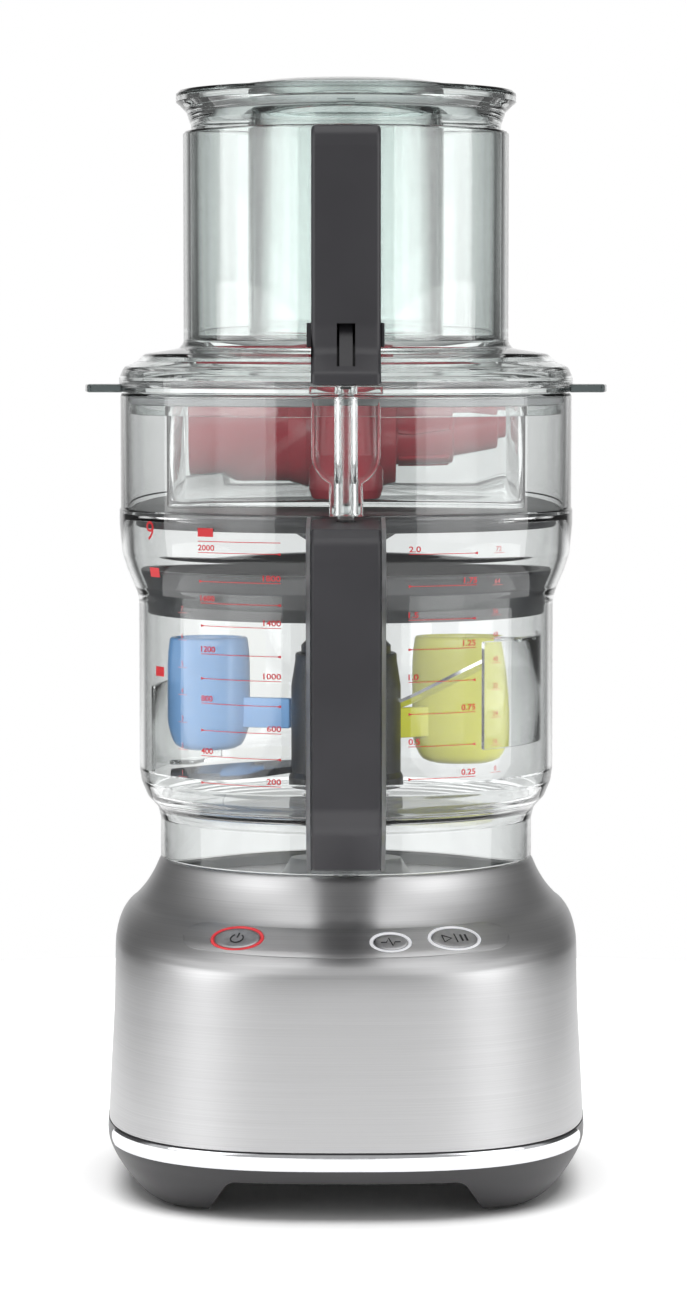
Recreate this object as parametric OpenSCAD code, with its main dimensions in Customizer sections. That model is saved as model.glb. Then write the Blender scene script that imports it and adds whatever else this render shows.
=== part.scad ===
// Compact food processor with a nine-cup bowl, a wide feed chute and its accessories stored in the bowl.
// X is to the right, -Y is the front with the handle and +Z is up.
// The origin is on the floor, midway between the front of the handle and the back of the cord gland.
// All sizes are in millimetres. The modules are drawn about the drive axis, then moved back by axis_y.

/* [Base] */
// Width of the base at its widest
base_w = 190; // [186:1:194]
// Wall of the metal base shell
shell_wall = 2.2; // [1.8:0.1:2.6]
// Height of the seat that the bowl stands on
seat_z = 128.6; // [128:0.2:129]

/* [Bowl] */
// Radius of the upper, wide part of the bowl
bowl_top_r = 90.5; // [90:0.5:91]
// Radius of the middle of the bowl
bowl_mid_r = 82.8; // [82.5:0.1:83]
// Radius of the skirt below the bowl's floor
bowl_skirt_r = 74.4; // [74.2:0.1:74.6]
// Wall of the clear mouldings
clear_wall = 2.5; // [2.3:0.1:2.6]
// Height of the bowl's rim
bowl_rim_z = 313.6; // [313.4:0.1:313.8]

/* [Feed chute] */
// Outer radius of the feed chute
chute_r = 64.8; // [64.6:0.1:65]
// Height of the chute's open end
chute_top_z = 417; // [415:1:418]
// Outer radius of the large pusher
pusher_r = 61.5; // [61:0.1:61.6]
// Outer radius of the small pusher
small_r = 36.3; // [36:0.1:36.4]

/* [Handles] */
// Width of the dark grip on the bowl
grip_w = 26.6; // [26:0.2:27]
// Thickness of the clear cheek on each side of the grip
cheek_t = 1.5; // [1.2:0.1:1.8]
// Width of the dark bar on the chute
bar_w = 26.4; // [26:0.2:27]

/* [Hidden] */
$fn = 96;
axis_y = 15.7;

// ---- Base surface: a round collar that grows into a rounded square with a sloping front ----

base_a = base_w / 2;
// Each station is [side reach, side height, front reach, front height, back reach, squareness].
BASE = [
  [base_a - 22.0, seat_z, 73.0, seat_z, 73.0, 2.0],
  [base_a - 20.4, seat_z - 1, 74.6, seat_z - 1, 74.6, 2.0],
  [base_a - 18.0, 122.5, 77.0, 122.0, 77.0, 2.0],
  [base_a - 14.8, 117.2, 80.5, 115.8, 80.2, 2.05],
  [base_a - 10.8, 112.4, 84.5, 110.6, 84.4, 2.15],
  [base_a - 7.4, 109.2, 92.0, 105.4, 88.0, 2.3],
  [base_a - 4.8, 105.0, 99.5, 100.3, 91.0, 2.5],
  [base_a - 3.4, 100.0, 103.4, 96.0, 92.4, 2.65],
  [base_a - 2.9, 94.0, 105.0, 90.5, 93.0, 2.75],
  [base_a - 2.5, 72.0, 105.6, 72.0, 93.4, 2.8],
  [base_a - 1.2, 48.0, 106.3, 48.0, 94.4, 2.8],
  [base_a - 0.2, 27.2, 107.0, 27.2, 95.0, 2.8]];
TRAY = [
  [base_a, 26.8, 107.2, 26.8, 95.2, 2.8],
  [base_a, 20.0, 107.2, 20.0, 95.2, 2.8],
  [base_a - 2.6, 14.5, 104.0, 14.5, 92.6, 3.0],
  [base_a - 8.0, 8.5, 98.4, 8.5, 87.0, 3.6],
  [base_a - 13.6, 4.0, 93.0, 4.0, 81.6, 4.4],
  [base_a - 19.0, 1.5, 87.4, 1.5, 76.0, 5.4]];
seg = 56; // points round a ring

function sgn_pow(v, p) = sign(v) * pow(abs(v), p);
function lerp(a, b, t) = a + (b - a) * t;
function front_share(t) = sin(t) < 0 ? pow(sin(t), 2) : 0;
// A point of one station at angle t, moved out along the profile's normal by off
function station_pt(s, t, off, nrm) = let (w = front_share(t),
    rx = s[0] + off * nrm[0][0], ry = sin(t) < 0 ? s[2] + off * nrm[1][0] : s[4] + off * nrm[0][0],
    z = lerp(s[1] + off * nrm[0][1], s[3] + off * nrm[1][1], w))
  [rx * sgn_pow(cos(t), 2 / s[5]), ry * sgn_pow(sin(t), 2 / s[5]), z];
// Outward normals of the side and front profiles at station i
function unit2(v) = v / norm(v);
function profile_normals(L, i) = let (p = L[max(i - 1, 0)], q = L[min(i + 1, len(L) - 1)],
    ds = unit2([q[0] - p[0], q[1] - p[1]]), df = unit2([q[2] - p[2], q[3] - p[3]]))
  [[-ds[1], ds[0]], [-df[1], df[0]]];
// The surface at any point: k counts stations and may be fractional
function surface_pt(L, k, t, off) = let (i = min(floor(k), len(L) - 2), f = k - i)
  lerp(station_pt(L[i], t, off, profile_normals(L, i)), station_pt(L[i + 1], t, off, profile_normals(L,
    i + 1)), f);
function surface_normal(L, k, t) = let (h = 0.05,
    du = surface_pt(L, k, t + h * 10, 0) - surface_pt(L, k, t - h * 10, 0),
    dv = surface_pt(L, k + h, t, 0) - surface_pt(L, k - h, t, 0), n = cross(dv, du))
  n / norm(n);

// A closed loft through rings that lead back to the first one
module closed_loft(rings) {
  n = len(rings);
  m = len(rings[0]);
  polyhedron(points = [for (r = rings) for (p = r) p],
    faces = [for (i = [0 : n - 1]) for (j = [0 : m - 1])
      let (a = i * m + j, b = i * m + (j + 1) % m, c = ((i + 1) % n) * m + (j + 1) % m, d = ((i + 1)
        % n) * m + j)
        each [[a, b, c], [a, c, d]]], convexity = 6);
}
// A solid loft with flat caps, through rings that run anticlockwise as seen from beyond the last one
module capped_loft(rings) {
  n = len(rings);
  m = len(rings[0]);
  polyhedron(points = [for (r = rings) for (p = r) p],
    faces = concat([[for (j = [0 : m - 1]) j]],
      [for (i = [0 : n - 2]) for (j = [0 : m - 1])
        let (a = i * m + j, b = i * m + (j + 1) % m, c = (i + 1) * m + (j + 1) % m, d = (i + 1) * m + j)
          each [[a, c, b], [a, d, c]]],
      [[for (j = [m - 1 : -1 : 0]) (n - 1) * m + j]]), convexity = 6);
}
function ring_at(L, i, off) = [for (j = [0 : seg - 1])
  station_pt(L[i], j * 360 / seg, off, profile_normals(L, i))];

// ---- Buttons: where each one sits on the sloping panel ----

panel_k = 5.05;
big_button = [18.6, 12.2];
small_button = [13.4, 9.0];
ring_gap = 0.25;
ring_w = 1.1;
button_x = [-41.6, 17.0, 41.4];
button_size = [big_button, small_button, big_button];
function angle_of_x(x) = let (k = panel_k, i = floor(k), f = k - i, a = lerp(BASE[i][0], BASE[i + 1][0], f),
    n = lerp(BASE[i][5], BASE[i + 1][5], f)) x < 0 ? 180 + acos(pow(-x / a, n / 2))
      : 360 - acos(pow(x / a, n / 2));
function button_spot(i) = surface_pt(BASE, panel_k, angle_of_x(button_x[i]), 0);
function button_normal(i) = surface_normal(BASE, panel_k, angle_of_x(button_x[i]));
module at_button(i) {
  n = button_normal(i);
  translate(button_spot(i)) rotate([acos(n[2]), 0, atan2(n[0], -n[1])]) children();
}
module oval(w, h) polygon([for (a = [0 : 10 : 350]) [w / 2 * cos(a), h / 2 * sin(a)]]);
module oval_prism(w, h, z0, z1) translate([0, 0, z0]) linear_extrude(z1 - z0) oval(w, h);

// ---- Base ----

module base_shell() {
  last = len(BASE) - 1;
  color("silver") difference() {
    closed_loft(concat([for (i = [0 : last]) ring_at(BASE, i, 0)],
      [for (i = [last : -1 : 0]) ring_at(BASE, i, -shell_wall)]));
    for (i = [0 : 2]) at_button(i)
      oval_prism(button_size[i][0] + 2 * (ring_gap + ring_w) + 0.4, button_size[i][1] + 2 * (ring_gap +
        ring_w) + 0.4, -6, 4);
    translate([0, 80, gland_z]) rotate([-90, 0, 0]) cylinder(r = 8.1, h = 30);
  }
}
// Dark lower housing with an arch between the feet on every side
module bottom_tray() {
  last = len(TRAY) - 1;
  color("#3d3c40") difference() {
    union() {
      difference() {
        capped_loft([for (i = [last : -1 : 0]) ring_at(TRAY, i, 0)]);
        translate([0, 0, tray_floor_z]) linear_extrude(20)
          polygon([for (p = ring_at(TRAY, 2, -3.2)) [p[0], p[1]]]);
      }
      translate([0, 0, tray_floor_z - 1]) cylinder(r = lower_bearing_r + 3, h = lower_bearing_z +
        8 - tray_floor_z);
    }
    rotate([90, 0, 0]) linear_extrude(300, center = true) arch(53.5, 45);
    rotate([90, 0, 90]) linear_extrude(300, center = true) arch(50, 40);
    at_feet() translate([0, 0, -1]) cylinder(r = foot_r + 0.1, h = 1 + pad_sink);
    at_posts() translate([0, 0, 10]) cylinder(r = screw_r + 0.1, h = 20);
    translate([0, 0, lower_bearing_z]) cylinder(r = lower_bearing_r, h = 20);
  }
}
module arch(floor_half, top_half) polygon([[-floor_half, -1], [floor_half, -1],
  [top_half, arch_z], [-top_half, arch_z]]);
arch_z = 14.8;
tray_floor_z = 17.8;
foot_x = 61.5;
foot_y = [-68, 58];
foot_r = 6.8;
pad_sink = 3.2;
post_ring_r = 45;
screw_r = 1.6;
lower_bearing_r = 9.5;
lower_bearing_z = 19.6;
module at_feet() for (x = [-foot_x, foot_x]) for (y = foot_y) translate([x, y, 0]) children();
module at_posts() for (a = [45 : 90 : 315]) rotate([0, 0, a]) translate([post_ring_r, 0, 0]) children();
module foot_pads() color("#1c1c1e") at_feet() rotate_extrude()
  polygon([[0, 0], [foot_r - 1.2, 0], [foot_r, 1.2], [foot_r, pad_sink], [0, pad_sink]]);
module tray_screws() color("#8b8d92") at_posts() {
  translate([0, 0, arch_z - 2.2]) cylinder(r = 3, h = 2.19);
  translate([0, 0, arch_z - 1]) cylinder(r = screw_r, h = 10);
}
// A strip that follows the base's surface between two angles and two stations
module skin_patch(L, t0, t1, k0, k1, lo, hi, cols, round_end) {
  rows = 5;
  function half(u) = abs(u) < 1 - round_end ? 1 : sqrt(max(0.06, 1 - pow((abs(u) - 1 + round_end)
    / round_end, 2)));
  function pt(i, j, off) = let (u = 2 * i / cols - 1, v = 2 * j / rows - 1, kc = (k0 + k1) / 2)
    surface_pt(L, kc + v * half(u) * (k1 - k0) / 2, lerp(t0, t1, i / cols), off);
  function loop(i) = concat([for (j = [0 : rows]) pt(i, j, hi)], [for (j = [rows : -1 : 0]) pt(i, j, lo)]);
  capped_loft([for (i = [0 : cols]) loop(i)]);
}
module control_panel() color("#a9aaad") difference() {
  skin_patch(BASE, angle_of_x(-62), angle_of_x(62), 4.18, 5.96, 0.06, 0.5, 26, 0.16);
  for (i = [0 : 2]) at_button(i)
    oval_prism(button_size[i][0] + 2 * (ring_gap + ring_w) + 0.4, button_size[i][1] + 2 * (ring_gap +
      ring_w) + 0.4, -6, 4);
}
module trim_band() color("#e6e7ea")
  skin_patch(TRAY, 204, 336, 0.08, 0.94, 0.08, 0.9, 40, 0.03);
module indicator_ring(i) at_button(i) difference() {
  oval_prism(button_size[i][0] + 2 * (ring_gap + ring_w), button_size[i][1] + 2 * (ring_gap + ring_w),
    -4, 0.75);
  oval_prism(button_size[i][0] + 2 * ring_gap, button_size[i][1] + 2 * ring_gap, -5, 4);
}
module push_button(i) at_button(i) {
  oval_prism(button_size[i][0], button_size[i][1], -3.6, 0.6);
  translate([0, 0, -6]) cylinder(r = 2.2, h = 2.5);
}
module power_ring() color("#d8343c") indicator_ring(0);
module pulse_ring() color("#f2f3f5") indicator_ring(1);
module start_ring() color("#f2f3f5") indicator_ring(2);
module power_button() color("#9b9ca0") push_button(0);
module pulse_button() color("#9b9ca0") push_button(1);
module start_button() color("#9b9ca0") push_button(2);
// Small switches under the buttons, one micro-gap below the stems at full travel
button_travel = 1;
module button_switches() color("#22242a") for (i = [0 : 2]) at_button(i)
  translate([-3, -3, -6 - button_travel - 3.2]) cube([6, 6, 3]);
// Plate that closes the base's top and carries the bowl
seat_boss_r = 22;
module bowl_seat() color("#b4b6ba") difference() {
  rotate_extrude() polygon([[0, seat_z - 7.6], [72, seat_z - 7.6], [72, seat_z - 5.4], [70.4, seat_z - 3.2],
    [70.4, seat_z - 0.6], [69.2, seat_z - 0.6], [68.4, seat_z - 3.6], [26, seat_z - 3.6],
    [seat_boss_r, seat_z + 2.5], [0, seat_z + 2.5]]);
  translate([0, 0, seat_z - 20]) cylinder(r = seal_r, h = 40);
  translate([0, 0, seat_z - 9]) cylinder(r = 60, h = 3);
  translate([0, link_y, seat_z - 20]) cylinder(r = plunger_r + 0.1, h = 40);
}
seal_r = 11;
shaft_r = 5;
module seat_seal() color("#2a2a2d") translate([0, 0, seat_z - 5.9]) difference() {
  cylinder(r = seal_r - 0.02, h = 7);
  translate([0, 0, -1]) cylinder(r = shaft_r + 0.1, h = 9);
}
// ---- Motor ----
stator_r = 42;
stator_z = [40, 84];
rotor_r = 23;
bracket_z = 98;
module motor_stator() color("#7d8086") difference() {
  translate([0, 0, stator_z[0]]) cylinder(r = stator_r, h = stator_z[1] - stator_z[0]);
  translate([0, 0, 0]) cylinder(r = rotor_r + 0.8, h = 120);
  for (a = [0 : 60 : 300]) rotate([0, 0, a]) translate([30, 0, 0]) cylinder(r = 5.2, h = 120);
}
module motor_windings() color("#b56a34") for (z = [stator_z[0] - 9, stator_z[1]]) translate([0, 0, z])
  rotate_extrude()
  polygon([[rotor_r + 2.5, 0.5], [37, 0.5], [38, 4.5], [36.5, 8.5], [rotor_r + 3.5, 8.5]]);
module motor_bracket() color("#9a9ca1") difference() {
  union() {
    translate([0, 0, bracket_z]) cylinder(r = 48, h = 5);
    translate([0, 0, bracket_z]) cylinder(r = 16, h = 12);
    at_posts() translate([0, 0, tray_floor_z + 0.02]) cylinder(r = 2.9, h = bracket_z - tray_floor_z);
  }
  at_posts() cylinder(r = screw_r + 0.1, h = tray_floor_z + 10);
  translate([0, 0, bracket_z + 2]) cylinder(r = bearing_r, h = 30);
  translate([0, 0, 0]) cylinder(r = shaft_r + 1.5, h = 200);
}
bearing_r = 11;
module ball_bearing(r, z, h) color("#c9cbd0") translate([0, 0, z]) difference() {
  cylinder(r = r - 0.01, h = h);
  translate([0, 0, -1]) cylinder(r = shaft_r + 0.05, h = h + 2);
}
module upper_bearing() ball_bearing(bearing_r, bracket_z + 2, 8);
module lower_bearing() ball_bearing(lower_bearing_r, lower_bearing_z, 7);
module motor_screws() color("#8b8d92") at_posts() translate([0, 0, bracket_z + 5.02]) cylinder(r = 3.4,
  h = 2.4);
module rotor() color("#6f7278") difference() {
  translate([0, 0, stator_z[0]]) cylinder(r = rotor_r, h = stator_z[1] - stator_z[0]);
  cylinder(r = shaft_r + 0.01, h = 120);
}
hex_z = 136;
shaft_top_z = 174;
module drive_shaft() color("#d4d6da") {
  translate([0, 0, 20.5]) cylinder(r = shaft_r, h = hex_z - 20.5);
  translate([0, 0, hex_z]) cylinder(r = shaft_r, h = shaft_top_z - hex_z, $fn = 6);
}
module cooling_fan() color("#303136") difference() {
  union() {
    translate([0, 0, 30]) cylinder(r = 9, h = 9);
    translate([0, 0, 29]) cylinder(r = 36, h = 1.4);
    for (a = [0 : 36 : 324]) rotate([0, 0, a]) translate([8, -0.7, 27.6]) cube([27, 1.4, 1.6]);
  }
  cylinder(r = shaft_r + 0.01, h = 120);
}
module control_board() color("#23513a") translate([-34, 56, tray_floor_z + 0.02]) cube([68, 1.6, 62]);
module board_parts() {
  color("#2b5fa8") for (x = [-18, 4]) translate([x, 57.65, 58]) rotate([-90, 0, 0]) cylinder(r = 6.5,
    h = 14);
  color("#1d1e22") translate([14, 57.65, 44]) cube([14, 6, 12]);
  color("#d9c34a") translate([-30, 57.65, 36]) cube([12, 9, 10]);
}
// Safety switch inside the collar, pressed through the base by the handle's actuator
link_y = -65.4;
plunger_r = 2;
plunger_z = [105, 127.6];
actuator_rise = 4;
module interlock_switch() color("#1b1c20") difference() {
  translate([-9, link_y - 5, 100]) cube([18, 10, seat_z - 7.62 - 100]);
  translate([0, link_y, plunger_z[0] - 0.5]) cylinder(r = plunger_r + 0.1, h = 30);
}
module switch_plunger() color("#e9e6df") translate([0, link_y, plunger_z[0]])
  cylinder(r = plunger_r, h = plunger_z[1] - plunger_z[0]);
module cord_gland() color("#232327") translate([0, 94.5, gland_z]) rotate([-90, 0, 0]) rotate_extrude()
  polygon([[cord_hole_r, -7], [9.4, -7], [9.4, -2.9], [8, -2.9], [8, 0.2], [9.6, 0.5], [9.6, 2.4], [8,
    4], [cord_hole_r, 4]]);
gland_z = 44;
cord_hole_r = 3.6;
// ---- Bowl ----

floor_z = 148.6;
tube_r = 14.5;
module bowl_profile() polygon([
  [bowl_skirt_r, seat_z + 0.2], [bowl_skirt_r, 144.4], [bowl_skirt_r + 1.2, 148.8], [79.6, 153], [82.0,
    158.8],
  [bowl_mid_r, 164], [bowl_mid_r, 231], [83.6, 234.6], [87.5, 244], [89.4, 250], [bowl_top_r, 264],
  [bowl_top_r, 267.6], [bowl_top_r - 0.5, 268.2], [bowl_top_r - 0.5, bowl_rim_z - 0.8],
    [bowl_top_r - 1.2, bowl_rim_z],
  [bowl_top_r - 2.5, bowl_rim_z], [bowl_top_r - clear_wall - 0.5, bowl_rim_z - 0.8],
  [bowl_top_r - clear_wall - 0.5, 266], [86.2, 264], [85.0, 250.6], [83.6, 245.4], [80.6, 237.6], [80.3,
    234],
  [80.3, 164.5], [79.4, 159.6], [77.4, 155.4], [74.6, 152.2], [72, 151.4], [tube_r + 3, 151.4], [tube_r,
    153],
  [tube_r, 178], [tube_r - 2, 178], [tube_r - 2, floor_z], [bowl_skirt_r - clear_wall, floor_z],
  [bowl_skirt_r - clear_wall, seat_z + 0.2]]);
pocket_y = -97.5;
// The handle seen from the side, as [front-to-back, height]; inset shrinks it
module handle_side(inset) offset(delta = -inset) union() {
  polygon([[-86, 267], [-120, 264], [-126, 260], [-129, 252], [-129.5, 160], [-127, 151], [-100, 134],
    [-80, 131.6],
    [-71.5, 131.6], [-71.5, 142], [-100, 146.5], [-108, 151.5], [-111, 159], [-111, 238], [-108, 245],
      [-101, 249], [-86, 251]]);
}
module side_extrude(w) rotate([90, 0, 90]) linear_extrude(w, center = true) children();
// The room inside the bowl's wall, from its skirt to its rim
module bowl_room() rotate_extrude() polygon([[0, 120], [73, 120], [73, 150], [81.5, 160], [81.5, 234],
  [86, 246],
  [86.6, 264], [88.4, 266.5], [88.4, 320], [0, 320]]);
module bowl() color("#b9cfc9") difference() {
  union() {
    rotate_extrude() bowl_profile();
    difference() {
      for (s = [-1, 1]) translate([s * (grip_w / 2 + cheek_t / 2 + 0.05), 0, 0]) side_extrude(cheek_t)
        handle_side(-0.4);
      bowl_room();
    }
    difference() {
      pocket();
      bowl_room();
    }
  }
  translate([0, pocket_y, 250]) cylinder(r = 4.4, h = 80);
  translate([-3.4, -78, seat_z]) cube([6.8, 8, 17]);
}
// U-shaped boss on the bowl's front that takes the actuator's upper end
module pocket() translate([0, -84, 0]) rotate([90, 0, 0]) linear_extrude(21) {
  translate([0, 292]) circle(r = 13);
  translate([-13, 292]) square([26, bowl_rim_z - 292.6]);
  translate([-7, 268]) square([14, 20]);
}
module handle_grip() color("#444348") difference() {
  side_extrude(grip_w) intersection() {
    handle_side(0);
    polygon([[-140, 100], [-79, 100], [-79, 200], [-91.3, 200], [-91.3, 300], [-140, 300]]);
  }
  side_extrude(8) for (dz = [0 : actuator_rise]) translate([0, dz]) offset(delta = 0.6) actuator_side();
  translate([0, pocket_y, 250]) cylinder(r = 3.6, h = 60);
  for (z = screw_z) translate([0, -112.5, z]) rotate([90, 0, 0]) cylinder(r = 1.3, h = 10, center = true);
}
screw_z = [170, 228];
module grip_screws() color("#8b8d92") for (z = screw_z) translate([0, -110.95, z]) rotate([-90, 0, 0]) {
  cylinder(r = 2.6, h = 1.2);
  translate([0, 0, -5]) cylinder(r = 1.25, h = 5.5);
}
// C-shaped strip inside the handle, from the lid's stub to the switch in the base
module actuator_side() polygon([[pocket_y + 2.5, 255.5], [-119, 254.5], [-122, 251], [-122, 158],
  [-119.5, 154], [-98, 140.6], [-80, 136.6], [link_y + 2, 136.6], [link_y + 2, 127.9], [link_y - 2, 127.9],
  [link_y - 2, 133], [-80, 133.2], [-99.6, 137.4], [-121, 150.6], [-125, 156], [-125, 252], [-120.5, 257.4],
  [pocket_y + 2.5, 258.6]]);
module bowl_actuator() color("#d7d2c6") {
  side_extrude(5) actuator_side();
  translate([0, pocket_y, 256]) cylinder(r = 3, h = 315.8 - 256);
}

// ---- Blade, turning on the bowl's centre tube ----

blade_hub_r = 22;
module spindle() color("#3a3a3e") difference() {
  rotate_extrude() polygon([[0, 150], [11.4, 150], [11.4, 179], [15.2, 179], [15.2, 155], [18, 155],
    [18, 212],
    [14, 216], [9, 216], [0, 216]]);
  translate([0, 0, 140]) cylinder(r = shaft_r + 0.3, h = shaft_top_z - 140 + 1, $fn = 6);
}
module blade_hub() color("#39393d") rotate_extrude() polygon([[18.05, 155], [blade_hub_r + 1, 155],
  [blade_hub_r + 1, 160], [blade_hub_r, 162], [blade_hub_r, 196], [20.4, 206], [20.4, 209], [18.05, 209]]);
module blade_cap() color("#39393d") translate([0, 0, 216.05]) rotate_extrude()
  polygon([[0, 0], [12, 0], [12, 3], [10, 5.5], [0, 5.5]]);
// A curved steel blade: its plan outline, drooped along its length
module blade_plate(root_z, tip_z, tip_r) {
  steps = 10;
  half_t = 0.75;
  function mid(i) = let (u = i / steps) [lerp(19.6, tip_r, u), -20 * u * u + 6 * sin(u * 180),
    lerp(root_z, tip_z, pow(u, 1.2))];
  function wide(i) = let (u = i / steps) lerp(8, 13, sin(u * 150)) * (1 - 0.55 * pow(u, 3));
  function loop(i) = let (p = mid(i), w = wide(i) / 2, d = 0.34 * w)
    [p + [0, -w, d - half_t], p + [0, w, -d - half_t], p + [0, w, -d + half_t], p + [0, -w, d + half_t]];
  capped_loft([for (i = [0 : steps]) loop(i)]);
}
module upper_blade() color("#cfd1d6") blade_plate(188, 215, 72);
module lower_blade() color("#cfd1d6") rotate([0, 0, 180]) blade_plate(164, 159, 72);

// Coloured hand tools that clip to the hub in storage, so they turn with it
function ellipse(w, d, z) = [for (a = [3 : 12 : 359]) [w / 2 * cos(a), d / 2 * sin(a), z]];
module tool_body(w, d, h) capped_loft([ellipse(w * 0.5, d * 0.5, 0), ellipse(w * 0.82, d * 0.82, 2),
  ellipse(w, d, 9), ellipse(w, d, h)]);
// Flat arm that holds a tool to the hub, starting just outside the hub's flange
module tool_arm(to, z) rotate([0, 0, atan2(to[1], to[0])]) translate([blade_hub_r + 1.3, -1.7, z])
  cube([norm(to) - blade_hub_r - 1.3, 3.4, 12]);
module scraper(at, size, arm_to, arm_z) {
  difference() {
    translate(at) tool_body(size[0], size[1], size[2]);
    translate(at) capped_loft([ellipse(size[0] - 5.6, size[1] - 4.4, size[2] - 15.5),
      ellipse(size[0] - 5.6, size[1] - 4.4, size[2] + 1)]);
  }
  tool_arm(arm_to, arm_z);
}
module blue_scraper() color("#6f9fd8") scraper([-56, 16, 169], [34, 22, 45], [-46, 13.4], 178.3);
module yellow_scraper() color("#b3b62e") scraper([47, 22, 163], [40, 22, 51], [36, 17], 174.2);
// Clear covers that close round the blades' tips in storage
guard_r = 78.4;
module blade_guard() color("#d5dedd") for (side = [0, 1]) rotate([0, 0, 180 * side]) {
  z = side == 0 ? [176, 218] : [162, 196];
  difference() {
    translate([0, 0, z[0]]) linear_extrude(z[1] - z[0]) difference() {
      circle(r = guard_r);
      circle(r = guard_r - 1.5);
      rotate([0, 0, -48]) translate([-100, -200]) square([200, 200]);
      rotate([0, 0, 2]) translate([-100, 0]) square([200, 200]);
    }
  }
  translate([0, 0, z[side == 0 ? 1 : 0] - (side == 0 ? 1.6 : 0)]) linear_extrude(1.6) intersection() {
    polygon([[62, -24], [90, -24], [90, -60], [56, -36]]);
    circle(r = guard_r - 1);
  }
}

// ---- Discs stored above the blade ----

grid_z = [226.4, 240];
module grid_frame() color("#55585c") rotate_extrude()
  polygon([[75.4, grid_z[0]], [79.4, grid_z[0]], [79.6, 237.8], [82.0, 243.8], [82.0, 245], [77.6, 245],
    [75.4, 240]]);
module dicing_grid() color("#c3c6cb") difference() {
  translate([0, 0, grid_z[0]]) cylinder(r = 75.3, h = 4);
  for (x = [-6 : 6]) for (y = [-6 : 6]) if (norm([abs(x) * 12 + 6, abs(y) * 12 + 6]) < 70)
    translate([x * 12 - 5.3, y * 12 - 5.3, grid_z[0] - 1]) cube([10.6, 10.6, 8]);
  cylinder(r = 6.3, h = 400);
}
disc_z = 264.4;
module slicing_disc() color("#4a4c50") difference() {
  union() {
    translate([0, 0, disc_z]) cylinder(r = 84.6, h = 2.4);
    rotate_extrude() polygon([[82.6, disc_z - 3.4], [84.6, disc_z - 3.4], [84.6, disc_z], [82.6, disc_z]]);
  }
  translate([0, 0, disc_z - 10]) cylinder(r = 16.05, h = 30);
  translate([-4, 20, disc_z - 5]) cube([9, 58, 12]);
}
module slicing_blade() color("#cfd1d6") translate([-6.6, 21, disc_z + 2.45])
  cube([8, 56, 0.8]);
module disc_hub() color("#36363a") difference() {
  rotate_extrude() polygon([[6, 232.6], [9, 232.6], [9, 250], [22, 256], [22, disc_z - 0.1], [16,
    disc_z - 0.1],
    [16, disc_z + 2.4], [6, disc_z + 2.4]]);
  translate([0, 0, 200]) cylinder(r = 3.1, h = 100);
}

// ---- Storage bin with the red adaptor and hub ----

bin_half = [69.5, 46];
bin_z = [268.2, 311.8];
bin_round = 9;
module bin_plan(inset) offset(r = bin_round - inset) square([2 * (bin_half[0] - bin_round),
  2 * (bin_half[1] - bin_round)], center = true);
module accessory_bin() color("#d3dfdc") difference() {
  union() {
    translate([0, 0, bin_z[0]]) linear_extrude(bin_z[1] - bin_z[0]) bin_plan(0);
    translate([0, 0, bin_z[1] - 2]) linear_extrude(2) bin_plan(-1.6);
  }
  translate([0, 0, bin_z[0] + 2]) linear_extrude(60) bin_plan(2);
  translate([0, -30, 0]) rotate([90, 0, 0]) linear_extrude(30) {
    translate([0, 292]) circle(r = 11);
    translate([-11, 292]) square([22, 30]);
  }
}
adaptor_z = 292;
module disc_adaptor() color("#8e3a46") translate([0, 10, adaptor_z]) rotate([0, 90, 0]) difference() {
  rotate_extrude() polygon([[0, -63], [17.2, -63], [17.2, -23], [20, -16], [20, 14], [18, 20], [10.4,
    20], [10.2, 43],
    [8, 43], [8, 61], [5, 61], [5, 65], [0, 65]]);
  translate([0, 0, -64]) cylinder(r = 14.6, h = 36);
}
module dicing_hub() color("#a0404c") translate([0, -28, 270.3]) difference() {
  rotate_extrude($fn = 48) polygon([[0, 0], [13.4, 0], [14.6, 4], [14.6, 12], [11.4, 18], [11.4, 44],
    [7.6, 49], [0, 49]]);
  translate([0, 0, -1]) cylinder(r = 5, h = 30);
}

// ---- Lid ----

lid_z = 314.0;
module lid_profile() polygon([[84.4, 305], [86.4, 305], [86.4, 309], [85.9, 309], [85.9, 312], [86.4, 312],
  [86.4, lid_z], [bowl_top_r, lid_z], [bowl_top_r, 319.6], [88.6, 324], [83.4, 326.2], [80.4, 329.2],
  [chute_r + 1.6, 331.4], [chute_r, 334], [chute_r, chute_top_z - 1], [chute_r - 0.8, chute_top_z],
  [chute_r - 2, chute_top_z], [62, chute_top_z - 1], [62, 322], [60.4, 318.2], [62, 318.2], [64.6, 324.6],
  [64.6, 328.6], [79.4, 326.6], [82.4, 323.6], [86.4, 321.6], [87.2, 318.6], [84.4, 316]]);
tab_reach = 104;
module lid() color("#c2d0cc") difference() {
  union() {
    rotate_extrude() lid_profile();
    for (s = [-1, 1]) intersection() {
      translate([0, 0, lid_z]) difference() { cylinder(r = tab_reach, h = 3.2); translate([0, 0, -1])
        cylinder(r = 89, h = 8); }
      translate([s * 95 - 20, -21, 300]) cube([40, 42, 30]);
    }
    intersection() {
      translate([-14, -104.6, lid_z]) cube([28, 22, 3.2]);
      translate([0, 0, 300]) difference() { cylinder(r = 104.6, h = 30); translate([0, 0, -1])
        cylinder(r = 89, h = 60); }
    }
  }
  translate([0, pocket_y, 300]) cylinder(r = 4.2, h = 40);
}
module lid_seal() color("#e4e6e6") rotate_extrude()
  polygon([[85.91, 309.02], [86.9, 309.3], [87.15, 310.5], [86.9, 311.7], [85.91, 311.98]]);
bar_top_z = 415.6;
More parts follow.
